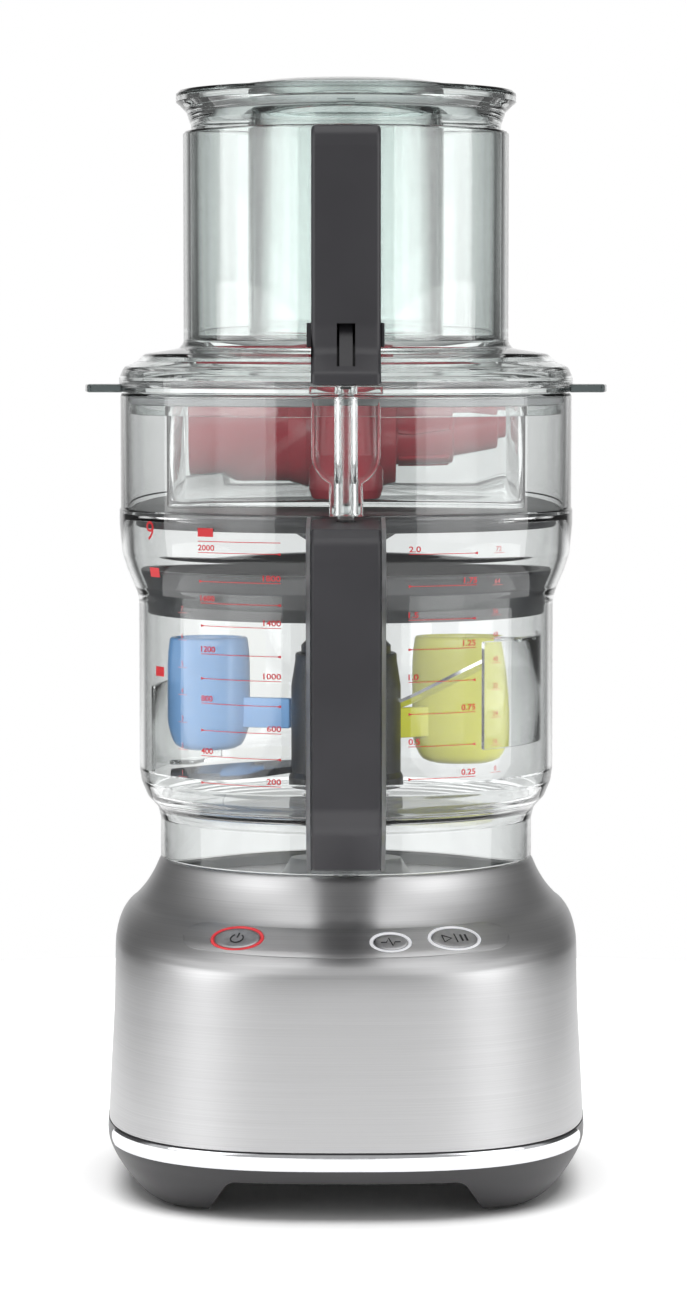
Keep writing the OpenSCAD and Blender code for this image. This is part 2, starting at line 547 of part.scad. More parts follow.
module lid_bar() color("#444348") difference() {
  side_extrude(bar_w) polygon([[-65.2, 335], [-65.2, bar_top_z], [-83, bar_top_z], [-86, bar_top_z - 3],
    [-87, bar_top_z - 8], [-88.4, 340], [-92, 330], [-104, 322], [-104.4, 317.4], [-91.0, 317.4],
      [-90.8, 320],
    [-88.8, 324.6], [-83.6, 326.6], [-80.6, 329.6], [-66.6, 331.8]]);
  side_extrude(7) for (dz = [-4 : actuator_rise]) translate([0, dz]) offset(delta = 0.6)
    lid_actuator_side();
  translate([-4, -78, 340]) cube([8, 5, 80]);
  translate([0, pocket_y, 310]) cylinder(r = 3.6, h = 11);
}
module lid_actuator_side() polygon([[-74, 398], [-77.4, 398], [-80.4, 345], [-99.6, 322.4], [-99.6, 316],
  [-95.4, 316], [-95.4, 320.8], [-76.4, 342]]);
module lid_clips() color("#2c2c30") for (s = [-1, 1]) translate([s * (bar_w / 2 + 0.75), -79, 336])
  cube([1.4, 9, 9], center = true);
module lid_actuator() color("#d7d2c6") side_extrude(5) lid_actuator_side();

// ---- Pushers ----

// Cup round the inner tube, open at the top until its ring closes it
module large_pusher() color("#cbd6d3") rotate_extrude() polygon([
  [small_r + 0.5, 333.4], [pusher_r - 1.4, 333.4], [pusher_r, 335], [pusher_r, 419], [63.4, 424.6], [66,
    427.2],
  [67.6, 428.6], [67.6, 431], [58.4, 431], [58.4, 427], [59.2, 422], [59.2, 336], [small_r + 2.6, 336],
  [small_r + 2.6, 431], [small_r + 0.5, 431]]);
module pusher_top() color("#cbd6d3") rotate_extrude() polygon([[small_r + 0.5, 431.02], [67.6, 431.02],
  [67.6, 431.8], [66.4, 433], [small_r + 1, 433], [small_r + 0.5, 432.6]]);
module pusher_prong() color("#e1e7e5") {
  for (s = [-1, 1]) translate([s * 2.6 - 0.75, -77, 398.1]) cube([1.5, 3, 26.4]);
  translate([-2, -75.8, 398.1]) cube([4, 1, 26.4]);
  translate([-3.4, -77, 424.4]) cube([6.8, 11.6, 1.6]);
}
module small_pusher() color("#d3dcda") rotate_extrude() polygon([[0, 334], [small_r - 1.4, 334],
  [small_r, 335.4], [small_r, 433.4],
  [small_r - 2, 433.4], [small_r - 2, 336.2], [0, 336.2]]);
module small_pusher_cap() color("#aab6b3") rotate_extrude() polygon([[0, 434], [small_r - 2.1, 434],
  [small_r - 2.1, 433.5],
  [43.4, 433.5], [44, 434.4], [43.2, 435.2], [34, 436.8], [18, 437.8], [5, 438.2], [0, 438.2]]);

// ---- One line per node ----
module on_axis() translate([0, axis_y, 0]) children();
on_axis() {
  base_shell();
  bottom_tray();
  trim_band();
  foot_pads();
  control_panel();
  bowl_seat();
  seat_seal();
  power_ring();
  pulse_ring();
  start_ring();
  power_button();
  pulse_button();
  start_button();
  motor_stator();
  motor_windings();
  motor_bracket();
  upper_bearing();
  lower_bearing();
  motor_screws();
  control_board();
  board_parts();
  button_switches();
  interlock_switch();
  switch_plunger();
  cord_gland();
  tray_screws();
  rotor();
  drive_shaft();
  cooling_fan();
  bowl();
  handle_grip();
  grip_screws();
  bowl_actuator();
  spindle();
  blade_hub();
  upper_blade();
  lower_blade();
  blade_cap();
  blade_guard();
  blue_scraper();
  yellow_scraper();
  dicing_grid();
  grid_frame();
  slicing_disc();
  slicing_blade();
  disc_hub();
  accessory_bin();
  disc_adaptor();
  dicing_hub();
  lid();
  lid_seal();
  lid_bar();
  lid_clips();
  lid_actuator();
  large_pusher();
  pusher_top();
  pusher_prong();
  small_pusher();
  small_pusher_cap();
}
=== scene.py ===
from math import acos, asin, atan2, copysign, cos, degrees, hypot, pi, radians, sin, sqrt, tan

import bmesh
import bpy
from mathutils import Matrix, Vector


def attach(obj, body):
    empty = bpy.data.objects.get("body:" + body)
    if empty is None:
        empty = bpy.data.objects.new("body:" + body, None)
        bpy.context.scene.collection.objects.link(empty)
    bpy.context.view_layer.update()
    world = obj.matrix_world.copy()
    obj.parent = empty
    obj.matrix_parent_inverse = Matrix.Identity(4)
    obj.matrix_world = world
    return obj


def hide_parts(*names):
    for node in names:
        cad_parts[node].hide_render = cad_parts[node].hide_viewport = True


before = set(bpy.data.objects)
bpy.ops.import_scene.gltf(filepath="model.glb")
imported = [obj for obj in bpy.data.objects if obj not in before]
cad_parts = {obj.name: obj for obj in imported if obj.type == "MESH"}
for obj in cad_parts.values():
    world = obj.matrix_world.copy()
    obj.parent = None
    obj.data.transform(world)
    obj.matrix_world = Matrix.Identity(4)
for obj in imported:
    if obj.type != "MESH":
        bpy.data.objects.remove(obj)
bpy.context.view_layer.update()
MM = 0.001
AXIS_Y = 15.7  # the drive axis, in millimetres behind the origin; the points below are drawn about it

# ---------------------------------------------------------------- mesh helpers


def placed(verts):
    """Points in millimetres about the drive axis, as points in metres in the shared frame."""
    return [(x * MM, (y + AXIS_Y) * MM, z * MM) for x, y, z in verts]


def lerp(a, b, t):
    return a + (b - a) * t


def fillet(points, radius, steps=4):
    """The outline with its corners rounded. radius is one number, or a function of the corner's index."""
    out = []
    n = len(points)
    for i, p in enumerate(points):
        r = radius(i) if callable(radius) else radius
        if r <= 0:
            out.append(tuple(p))
            continue
        p = Vector(p)
        a, b = Vector(points[i - 1]) - p, Vector(points[(i + 1) % n]) - p
        if a.length < 1e-6 or b.length < 1e-6:
            continue
        turn = a.angle(b)
        if turn > radians(172) or turn < 0.02:
            out.append(tuple(p))
            continue
        reach = min(r / tan(turn / 2), 0.48 * a.length, 0.48 * b.length)
        start, end = p + a.normalized() * reach, p + b.normalized() * reach
        for k in range(steps + 1):
            t = k / steps
            out.append(tuple(start.lerp(p, t).lerp(p.lerp(end, t), t)))
    return out


def axis_rounded(profile, radius, steps=4):
    """A profile that starts and ends on the axis, with its other corners rounded."""
    return fillet(profile, lambda i: radius if profile[i][0] else 0, steps)


def new_object(name, data):
    obj = bpy.data.objects.new(name, data)
    bpy.context.scene.collection.objects.link(obj)
    return obj


def smoothed(mesh, sharp):
    """Smooth shading that breaks at edges sharper than the angle, in degrees."""
    for p in mesh.polygons:
        p.use_smooth = True
    mesh.set_sharp_from_angle(angle=radians(sharp))


def finish_mesh(name, verts, faces, material, body, slot, replaces=(), sharp=38, merge=False):
    """Makes the object from points in millimetres, smooths it and puts it on its body."""
    mesh = bpy.data.meshes.new(name)
    mesh.from_pydata(placed(verts), [], faces)
    bm = bmesh_from(mesh)
    if merge:
        bmesh.ops.remove_doubles(bm, verts=bm.verts, dist=1e-6)
    bmesh.ops.dissolve_degenerate(bm, edges=bm.edges, dist=1e-7)
    bmesh.ops.recalc_face_normals(bm, faces=bm.faces)
    bm.to_mesh(mesh)
    bm.free()
    smoothed(mesh, sharp)
    obj = new_object(name, mesh)
    mesh.materials.append(MAT[material])
    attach(obj, body)
    if replaces:
        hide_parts(*replaces)
    return obj


def bmesh_from(mesh):
    bm = bmesh.new()
    bm.from_mesh(mesh)
    return bm


def lathe_parts(profile, segments=144, centre=(0, 0)):
    """Points and faces of a closed profile of (radius, height) points turned about Z."""
    verts, faces = [], []
    n = len(profile)
    for s in range(segments):
        a = 2 * pi * s / segments
        c, d = cos(a), sin(a)
        verts += [(r * c + centre[0], r * d + centre[1], z) for r, z in profile]
    for s in range(segments):
        t = (s + 1) % segments
        for i in range(n):
            j = (i + 1) % n
            if profile[i][0] <= 0 and profile[j][0] <= 0:
                continue
            faces.append((s * n + i, t * n + i, t * n + j, s * n + j))
    return verts, faces


def loft_parts(rings, closed=False):
    """Points and faces of a skin through rings of equal length, capped or joined back to the first."""
    verts = [p for r in rings for p in r]
    m, n = len(rings[0]), len(rings)
    faces = []
    for i in range(n if closed else n - 1):
        k = (i + 1) % n
        for j in range(m):
            q = (j + 1) % m
            faces.append((i * m + j, i * m + q, k * m + q, k * m + j))
    if not closed:
        faces.append(tuple(range(m)))
        faces.append(tuple((n - 1) * m + j for j in reversed(range(m))))
    return verts, faces


def prism_parts(outline, near, far, place, bevel=0.0, steps=3):
    """An outline swept from near to far with rounded rims; place turns (u, v, depth) into a point."""
    area = sum(a[0] * b[1] - b[0] * a[1] for a, b in zip(outline, outline[1:] + outline[:1]))
    if area < 0:
        outline = outline[::-1]
    rings = []
    levels = [(bevel * (1 - sin(k / steps * pi / 2)), bevel * (1 - cos(k / steps * pi / 2)))
              for k in range(steps + 1)] if bevel else [(0, 0)]
    for inset, depth in levels:
        rings.append([place(*p, near + depth) for p in inset_outline(outline, inset)])
    for inset, depth in reversed(levels):
        rings.append([place(*p, far - depth) for p in inset_outline(outline, inset)])
    return loft_parts(rings)


def inset_outline(outline, d):
    """The anticlockwise outline moved inwards by d at each point."""
    if not d:
        return list(outline)
    out = []
    n = len(outline)
    for i in range(n):
        p, q, r = (Vector(outline[(i + k) % n]) for k in (-1, 0, 1))
        a, b = (q - p).normalized(), (r - q).normalized()
        na, nb = Vector((-a.y, a.x)), Vector((-b.y, b.x))
        m = na + nb
        m = m / max(m.length_squared / 2, 0.35)
        out.append(tuple(q + m * d))
    return out


def joined(*parts):
    """Several (points, faces) pairs as one."""
    verts, faces = [], []
    for v, f in parts:
        k = len(verts)
        verts += v
        faces += [tuple(i + k for i in face) for face in f]
    return verts, faces


def moved(part, matrix):
    return [tuple(matrix @ Vector(v)) for v in part[0]], part[1]


def side_place(u, v, d):
    """Outline in (Y, Z), depth along X."""
    return (d, u, v)


def plan_place(u, v, d):
    """Outline in (X, Y), depth along Z."""
    return (u, v, d)


def front_place(u, v, d):
    """Outline in (X, Z), depth along Y."""
    return (u, d, v)


# ------------------------------------------------------------------ materials


def new_material(name):
    m = bpy.data.materials.new(name)
    m.use_nodes = True
    return m, m.node_tree.nodes, m.node_tree.links, m.node_tree.nodes["Principled BSDF"]


def set_sockets(node, **values):
    for k, v in values.items():
        node.inputs[k.replace("_", " ")].default_value = v


def noise_node(nodes, links, scale, stretch=(1, 1, 1), detail=3.0, roughness=0.5):
    """A noise texture on the piece's own coordinates, stretched by the given factors."""
    coords = nodes.new("ShaderNodeTexCoord")
    mapping = nodes.new("ShaderNodeMapping")
    set_sockets(mapping, Scale=stretch)
    tex = nodes.new("ShaderNodeTexNoise")
    set_sockets(tex, Scale=scale, Detail=detail, Roughness=roughness)
    links.new(coords.outputs["Object"], mapping.inputs["Vector"])
    links.new(mapping.outputs["Vector"], tex.inputs["Vector"])
    return tex


def ranged(nodes, links, socket, low, high, start=0.3, end=0.7):
    """The socket's values from start to end, mapped to run from low to high."""
    r = nodes.new("ShaderNodeMapRange")
    set_sockets(r, From_Min=start, From_Max=end, To_Min=low, To_Max=high)
    links.new(socket, r.inputs["Value"])
    return r.outputs["Result"]


def mixed(nodes, links, factor, a, b):
    mix = nodes.new("ShaderNodeMix")
    mix.data_type = "RGBA"
    links.new(factor, mix.inputs["Factor"])
    mix.inputs[6].default_value = (*a, 1)
    mix.inputs[7].default_value = (*b, 1)
    return mix.outputs[2]


def toned(nodes, links, bsdf, tex, dark, light):
    """Makes the base colour run between two tones with the texture."""
    share = ranged(nodes, links, tex.outputs[0], 0, 1)
    links.new(mixed(nodes, links, share, dark, light), bsdf.inputs["Base Color"])


def bumped(nodes, links, bsdf, height, strength, distance):
    bump = nodes.new("ShaderNodeBump")
    set_sockets(bump, Strength=strength, Distance=distance)
    links.new(height, bump.inputs["Height"])
    links.new(bump.outputs["Normal"], bsdf.inputs["Normal"])


def plastic(name, dark, light, rough=(0.34, 0.46), grain=900, bump=0.12, coat=0.0):
    """Moulded plastic: fine grain, faint mottling and uneven gloss."""
    m, nodes, links, bsdf = new_material(name)
    mottle = noise_node(nodes, links, 18, detail=4)
    fine = noise_node(nodes, links, grain, detail=2)
    toned(nodes, links, bsdf, mottle, dark, light)
    links.new(ranged(nodes, links, mottle.outputs[0], *rough), bsdf.inputs["Roughness"])
    bumped(nodes, links, bsdf, fine.outputs[0], bump, 0.0002)
    set_sockets(bsdf, Coat_Weight=coat)
    return m


def metal(name, dark, light, rough=(0.2, 0.3), grain=300, stretch=(1, 1, 1), bump=0.1):
    """Metal with a drawn or ground grain along the axis that stretch leaves long."""
    m, nodes, links, bsdf = new_material(name)
    fine = noise_node(nodes, links, grain, stretch, detail=4, roughness=0.6)
    toned(nodes, links, bsdf, fine, dark, light)
    links.new(ranged(nodes, links, fine.outputs[0], *rough), bsdf.inputs["Roughness"])
    bumped(nodes, links, bsdf, fine.outputs[0], bump, 0.0002)
    set_sockets(bsdf, Metallic=1.0)
    return m


CLEAR_IOR = 1.45


def clear(name, tint, rough=0.02):
    """Clear moulded plastic: clean and smooth, with the faint flow ripple of a moulding."""
    m, nodes, links, bsdf = new_material(name)
    flow = noise_node(nodes, links, 14, (1, 1, 0.35), detail=2)
    low = tuple(c * 0.97 for c in tint)
    toned(nodes, links, bsdf, flow, low, tint)
    bumped(nodes, links, bsdf, flow.outputs[0], 0.04, 0.001)
    set_sockets(bsdf, Transmission_Weight=1.0, Roughness=rough, IOR=CLEAR_IOR)
    return m


def tinted(name, dark, light, transmission):
    """Deep-coloured plastic that lets part of the light through."""
    m = plastic(name, dark, light, rough=(0.16, 0.24), grain=400, bump=0.04)
    set_sockets(m.node_tree.nodes["Principled BSDF"], Transmission_Weight=transmission, IOR=CLEAR_IOR)
    return m


def glowing(name, colour, strength):
    """A lit translucent ring."""
    m, nodes, links, bsdf = new_material(name)
    tex = noise_node(nodes, links, 220, detail=2)
    dim = tuple(c * 0.82 for c in colour)
    toned(nodes, links, bsdf, tex, dim, colour)
    set_sockets(bsdf, Roughness=0.3, Emission_Color=(*colour, 1), Emission_Strength=strength)
    return m


def apply_modifiers(obj):
    """Bakes the object's modifiers into its mesh."""
    graph = bpy.context.evaluated_depsgraph_get()
    graph.update()
    mesh = bpy.data.meshes.new_from_object(obj.evaluated_get(graph))
    old = obj.data
    obj.modifiers.clear()
    obj.data = mesh
    bpy.data.meshes.remove(old)


def cut(obj, part, sharp=38):
    """Cuts a closed part, in millimetres, out of the object."""
    mesh = bpy.data.meshes.new("cutter")
    mesh.from_pydata(placed(part[0]), [], part[1])
    bm = bmesh_from(mesh)
    bmesh.ops.recalc_face_normals(bm, faces=bm.faces)
    bm.to_mesh(mesh)
    bm.free()
    tool = new_object("cutter", mesh)
    modifier = obj.modifiers.new("cut", "BOOLEAN")
    modifier.operation = "DIFFERENCE"
    modifier.solver = "EXACT"
    modifier.object = tool
    apply_modifiers(obj)
    bpy.data.objects.remove(tool)
    smoothed(obj.data, sharp)
    return obj


# ------------------------------------------------------------------ materials of this machine

MAT = {
    "tray": plastic("tray_plastic", (0.030, 0.029, 0.031), (0.042, 0.041, 0.043), rough=(0.32, 0.42)),
    "dark": plastic("dark_plastic", (0.030, 0.029, 0.033), (0.038, 0.037, 0.042), rough=(0.36, 0.46)),
    "rubber": plastic("rubber_pad", (0.018, 0.018, 0.019), (0.028, 0.028, 0.030), rough=(0.7, 0.85), bump=0.3),
    "seat": plastic("seat_plastic", (0.42, 0.43, 0.44), (0.50, 0.51, 0.52), rough=(0.3, 0.4)),
    "panel": metal("panel_metal", (0.52, 0.52, 0.525), (0.60, 0.60, 0.605), rough=(0.36, 0.44), grain=9,
                   stretch=(1, 1, 200), bump=0.05),
    "button": metal("button_metal", (0.40, 0.40, 0.41), (0.50, 0.50, 0.51), rough=(0.30, 0.38), grain=500),
    "icon": plastic("icon_ink", (0.02, 0.02, 0.022), (0.03, 0.03, 0.032)),
    "red_ring": glowing("ring_red", (0.80, 0.06, 0.07), 0.30),
    "white_ring": glowing("ring_white", (0.90, 0.91, 0.94), 0.28),
    "clear": clear("clear_plastic", (0.925, 0.940, 0.937)),
    "clear_bin": clear("clear_bin_plastic", (0.945, 0.958, 0.955)),
    "clear_lid": clear("clear_lid_plastic", (0.94, 0.962, 0.956)),
    "clear_smoke": clear("smoke_plastic", (0.70, 0.755, 0.745)),
    "clear_ear": clear("ear_plastic", (0.10, 0.12, 0.12)),
    "clear_cheek": clear("cheek_plastic", (0.90, 0.905, 0.92), rough=0.38),
    "red": tinted("red_plastic", (0.38, 0.020, 0.038), (0.50, 0.032, 0.055), 0.05),
    "ink": plastic("print_ink", (0.72, 0.035, 0.045), (0.80, 0.05, 0.06), rough=(0.4, 0.5)),
    "pale_ink": plastic("pale_ink", (0.80, 0.20, 0.21), (0.86, 0.26, 0.27), rough=(0.4, 0.5)),
    "steel": metal("ground_steel", (0.52, 0.53, 0.54), (0.66, 0.67, 0.68), rough=(0.24, 0.34)),
    "blade": metal("blade_steel", (0.60, 0.61, 0.63), (0.72, 0.73, 0.75), rough=(0.14, 0.22), grain=260,
                   stretch=(1, 8, 8)),
    "chrome": metal("chrome", (0.80, 0.81, 0.83), (0.86, 0.87, 0.89), rough=(0.04, 0.07), bump=0.01),
    "cast": metal("cast_metal", (0.42, 0.43, 0.44), (0.55, 0.56, 0.57), rough=(0.5, 0.62), grain=160, bump=0.4),
    "laminated": metal("laminated_steel", (0.16, 0.165, 0.175), (0.30, 0.31, 0.33), rough=(0.4, 0.5), grain=8,
                       stretch=(1, 1, 160)),
    "copper": metal("copper_wire", (0.55, 0.22, 0.08), (0.72, 0.33, 0.13), rough=(0.25, 0.35), grain=12,
                    stretch=(1, 1, 90)),
    "board": plastic("circuit_board", (0.012, 0.09, 0.045), (0.02, 0.14, 0.07), rough=(0.25, 0.35), grain=120),
    "board_blue": plastic("board_parts", (0.02, 0.07, 0.24), (0.03, 0.12, 0.34)),
    "black": plastic("black_plastic", (0.012, 0.012, 0.014), (0.022, 0.022, 0.025)),
    "ivory": plastic("ivory_plastic", (0.62, 0.58, 0.48), (0.72, 0.68, 0.58)),
    "blue": plastic("blue_plastic", (0.17, 0.38, 0.72), (0.20, 0.43, 0.80), rough=(0.28, 0.36), coat=0.2),
    "yellow": plastic("yellow_plastic", (0.62, 0.62, 0.008), (0.72, 0.71, 0.012), rough=(0.28, 0.36), coat=0.2),
    "hub": plastic("hub_plastic", (0.028, 0.028, 0.031), (0.040, 0.040, 0.044)),
    "disc": plastic("disc_plastic", (0.060, 0.062, 0.066), (0.085, 0.087, 0.092), rough=(0.3, 0.4)),
    "seal": plastic("silicone_seal", (0.50, 0.51, 0.52), (0.60, 0.61, 0.62), rough=(0.5, 0.6)),
}


def brushed_base():
    """Stainless sheet brushed in horizontal lines round the base."""
    m, nodes, links, bsdf = new_material("brushed_steel")
    lines = noise_node(nodes, links, 9, (1.0, 1.0, 420.0), detail=5, roughness=0.62)
    cloud = noise_node(nodes, links, 7, (1, 1, 1), detail=2)
    tone = mixed(nodes, links, ranged(nodes, links, lines.outputs[0], 0, 1, 0.34, 0.66), (0.52, 0.52, 0.525),
                 (0.58, 0.58, 0.585))
    links.new(tone, bsdf.inputs["Base Color"])
    rough = nodes.new("ShaderNodeMath")
    rough.operation = "MULTIPLY_ADD"
    rough.inputs[1].default_value = 0.06
    links.new(lines.outputs[0], rough.inputs[0])
    links.new(ranged(nodes, links, cloud.outputs[0], 0.36, 0.40), rough.inputs[2])
    links.new(rough.outputs[0], bsdf.inputs["Roughness"])
    bumped(nodes, links, bsdf, lines.outputs[0], 0.07, 0.00006)
    set_sockets(bsdf, Metallic=1.0)
    return m


MAT["brushed_steel"] = brushed_base()

# ------------------------------------------------------------------ base

SEAT_Z = 128.6
# Stations from the collar down: side reach, side height, front reach, front height, back reach, squareness
BASE = [
    (73.0, SEAT_Z, 73.0, SEAT_Z, 73.0, 2.0),
    (74.6, 127.6, 74.6, 127.6, 74.6, 2.0),
    (77.0, 122.5, 77.0, 122.0, 77.0, 2.0),
    (80.2, 117.2, 80.5, 115.8, 80.2, 2.05),
    (84.2, 112.4, 84.5, 110.6, 84.4, 2.15),
    (87.6, 109.2, 92.0, 105.4, 88.0, 2.3),
    (90.2, 105.0, 99.5, 100.3, 91.0, 2.5),
    (91.6, 100.0, 103.4, 96.0, 92.4, 2.65),
    (92.1, 94.0, 105.0, 90.5, 93.0, 2.75),
    (92.5, 72.0, 105.6, 72.0, 93.4, 2.8),
    (93.8, 48.0, 106.3, 48.0, 94.4, 2.8),
    (94.8, 27.2, 107.0, 27.2, 95.0, 2.8)]
TRAY = [
    (95.0, 26.8, 107.2, 26.8, 95.2, 2.8),
    (95.0, 20.0, 107.2, 20.0, 95.2, 2.8),
    (92.4, 14.5, 104.0, 14.5, 92.6, 3.0),
    (87.0, 8.5, 98.4, 8.5, 87.0, 3.6),
    (81.4, 4.0, 93.0, 4.0, 81.6, 4.4),
    (76.0, 1.5, 87.4, 1.5, 76.0, 5.4)]


def station(stations, k):
    """The stations' values at a fractional place, on a smooth curve through them."""
    last = len(stations) - 1
    i = max(0, min(int(k), last - 1))
    f = k - i
    p = [stations[max(0, min(i + d, last))] for d in (-1, 0, 1, 2)]
    out = []
    for a, b, c, d in zip(*p):
        m0, m1 = (c - a) / 2, (d - b) / 2
        out.append((2 * f**3 - 3 * f**2 + 1) * b + (f**3 - 2 * f**2 + f) * m0
                   + (3 * f**2 - 2 * f**3) * c + (f**3 - f**2) * m1)
    return out


def power(v, p):
    return copysign(abs(v) ** p, v)


def on_base(stations, k, angle):
    """The point of the base's skin at a fractional station and an angle in degrees."""
    side, side_z, front, front_z, back, square = station(stations, k)
    c, s = cos(radians(angle)), sin(radians(angle))
    share = s * s if s < 0 else 0.0
    return Vector((side * power(c, 2 / square), (front if s < 0 else back) * power(s, 2 / square),
                   lerp(side_z, front_z, share)))


def base_normal(stations, k, angle):
    last = len(stations) - 1
    up, down = on_base(stations, max(k - 0.04, 0), angle), on_base(stations, min(k + 0.04, last), angle)
    along = on_base(stations, k, angle + 0.4) - on_base(stations, k, angle - 0.4)
    return along.cross(up - down).normalized()


def skin(stations, k, angle, off):
    return tuple(on_base(stations, k, angle) + base_normal(stations, k, angle) * off)


SHELL_WALL = 2.2
ROUND = 224


def ring(stations, k, off=0.0):
    return [skin(stations, k, 360 * j / ROUND, off) for j in range(ROUND)]


def ks(low, high, count):
    return [lerp(low, high, i / count) for i in range(count + 1)]


BUTTONS = {"power": (-41.6, 18.6, 12.2), "pulse": (17.0, 13.4, 9.0), "start": (41.4, 18.6, 12.2)}
PANEL_K = 5.05
RING_GAP = 0.25
RING_WIDTH = 1.1
HOLE_GAP = 0.2


def angle_of_x(x):
    side, square = station(BASE, PANEL_K)[0], station(BASE, PANEL_K)[5]
    a = degrees(acos(abs(x / side) ** (square / 2)))
    return 180 + a if x < 0 else 360 - a


def button_frame(x):
    """A matrix whose Z is the panel's outward normal at x, and whose X runs to the right."""
    angle = angle_of_x(x)
    at, z = on_base(BASE, PANEL_K, angle), base_normal(BASE, PANEL_K, angle)
    right = Vector((0, 0, 1)).cross(z).normalized() * -1
    if right.x < 0:
        right = -right
    up = z.cross(right)
    m = Matrix((right, up, z)).transposed().to_4x4()
    m.translation = at
    return m


def oval(w, h, n=64):
    return [(w / 2 * cos(2 * pi * i / n), h / 2 * sin(2 * pi * i / n)) for i in range(n)]


def button_holes():
    out = []
    for x, w, h in BUTTONS.values():
        grow = 2 * (RING_GAP + RING_WIDTH) + 2 * HOLE_GAP
        out.append(moved(prism_parts(oval(w + grow, h + grow), -6, 5, plan_place), button_frame(x)))
    return joined(*out)


def build_base():
    outer = [ring(BASE, k) for k in ks(0, 2, 10) + ks(2, 8, 42)[1:] + ks(8, 11, 10)[1:]]
    inner = [ring(BASE, k, -SHELL_WALL) for k in ks(11, 8, 3) + ks(8, 2, 14)[1:] + ks(2, 0, 4)[1:]]
    shell = finish_mesh("base_skin", *loft_parts(outer + inner, closed=True), "brushed_steel", "base",
                        "brushed_steel", ["base_shell"])
    cut(shell, button_holes())
    tray_rings = [ring(TRAY, k) for k in ks(5, 1, 24) + ks(1, 0, 3)[1:]]
    tray = finish_mesh("tray_body", *loft_parts(tray_rings), "tray", "base", "tray_plastic", ["bottom_tray"])
    for half_floor, half_top, place in ((53.5, 45, front_place), (50, 40, side_place)):
        outline = fillet([(-half_floor - 2, -3), (half_floor + 2, -3), (half_top, 14.8), (-half_top, 14.8)],
                         lambda i: 6 if i > 1 else 0, steps=6)
        cut(tray, prism_parts(outline, -150, 150, place))
    pads = []
    for x in (-61.5, 61.5):
        for y in (-68, 58):
            pads.append(lathe_parts(fillet([(0, 0), (6.7, 0), (6.7, 3.1), (0, 3.1)], lambda i: 1.4 if i == 1 else 0),
                                    40, (x, y)))
    finish_mesh("feet", *joined(*pads), "rubber", "base", "rubber", ["foot_pads"], merge=True)
    build_trim()
    build_panel()


def patch_parts(stations, t0, t1, k0, k1, low, high, columns, rows, end):
    """A strip of the skin from t0 to t1 with round ends, raised from low to high."""
    rings = []
    for i in range(columns + 1):
        u = -cos(pi * i / columns)
        v = max(0.0, (abs(u) - 1 + end) / end)
        half = sqrt(max(1 - v * v, 0.002)) if v else 1.0
        t = lerp(t0, t1, (u + 1) / 2)
        mid = (k0 + k1) / 2
        edge = min(0.3, (high - low) * 0.6)
        face = [skin(stations, mid + w * half * (k1 - k0) / 2, t, high if abs(w) < 0.999 else high - edge)
                for w in (lerp(-1, 1, j / rows) for j in range(rows + 1))]
        under = [skin(stations, mid + w * half * (k1 - k0) / 2, t,
                      low) for w in (lerp(1, -1, j / rows) for j in range(rows + 1))]
        rings.append(face + under)
    return loft_parts(rings)


def build_trim():
    finish_mesh("trim", *patch_parts(TRAY, 200, 340, 0.06, 0.96, 0.1, 0.85, 120, 8, 0.04), "chrome", "base",
                "chrome", ["trim_band"])


def build_panel():
    strip = finish_mesh("panel", *patch_parts(BASE, angle_of_x(-62), angle_of_x(62), 4.18, 5.96, 0.04, 0.5, 90, 10,
                                              0.17),
                        "panel", "base", "panel_metal", ["control_panel"])
    cut(strip, button_holes())
    for name, (x, w, h) in BUTTONS.items():
        place = button_frame(x)
        red = name == "power"
        outer, inner = oval(w + 2 * (RING_GAP + RING_WIDTH), h + 2 * (RING_GAP + RING_WIDTH)), oval(w + 2 * RING_GAP,
                                                                                                    h + 2 * RING_GAP)
        levels = [(outer, -4, 0), (outer, 0.45, 0), (outer, 0.7, 0.28), (inner, 0.7, -0.28), (inner, 0.45, 0),
                  (inner, -4, 0)]
        rings = [[(*p, z) for p in inset_outline(o, d)] for o, z, d in levels]
        finish_mesh(name + "_light", *moved(loft_parts(rings, closed=True), place),
                    "red_ring" if red else "white_ring", "base", "ring_red" if red else "ring_white",
                    [name + "_ring"])
        rings = []
        for z, d in ((-3.6, 0), (0.2, 0), (0.42, 0.1), (0.55, 0.45), (0.6, 1.1), (0.5, 3.0)):
            rings.append([(*p, z) for p in inset_outline(oval(w, h), d)])
        finish_mesh(name + "_face", *moved(loft_parts(rings), place), "button", name + "_key", "button_metal",
                    [name + "_button"])
        draw_icon(name, place)


def arc(cx, cy, r, start, end, steps=24):
    return [(cx + r * cos(radians(lerp(start, end, i / steps))), cy + r * sin(radians(lerp(start, end, i / steps))))
            for i in range(steps + 1)]


def stroke(points, width, z0=0.45, z1=0.66):
    """A flat line of ink along points in the button's plane."""
    left, right = [], []
    for i, p in enumerate(points):
        a, b = Vector(points[max(i - 1, 0)]), Vector(points[min(i + 1, len(points) - 1)])
        d = (b - a).normalized()
        n = Vector((-d.y, d.x)) * width / 2
        left.append(tuple(Vector(p) + n))
        right.append(tuple(Vector(p) - n))
    n = len(points)
    verts = [(*p, z) for z in (z0, z1) for p in left + right]
    faces = []
    for i in range(n - 1):
        a, b, c, d = i, i + 1, n + i + 1, n + i
        faces += [(a, b, c, d), tuple(2 * n + k for k in (d, c, b, a))]
        faces += [(b, a, 2 * n + a, 2 * n + b), (d, c, 2 * n + c, 2 * n + d)]
    faces += [(0, n, 3 * n, 2 * n), (2 * n - 1, n - 1, 3 * n - 1, 4 * n - 1)]
    return verts, faces


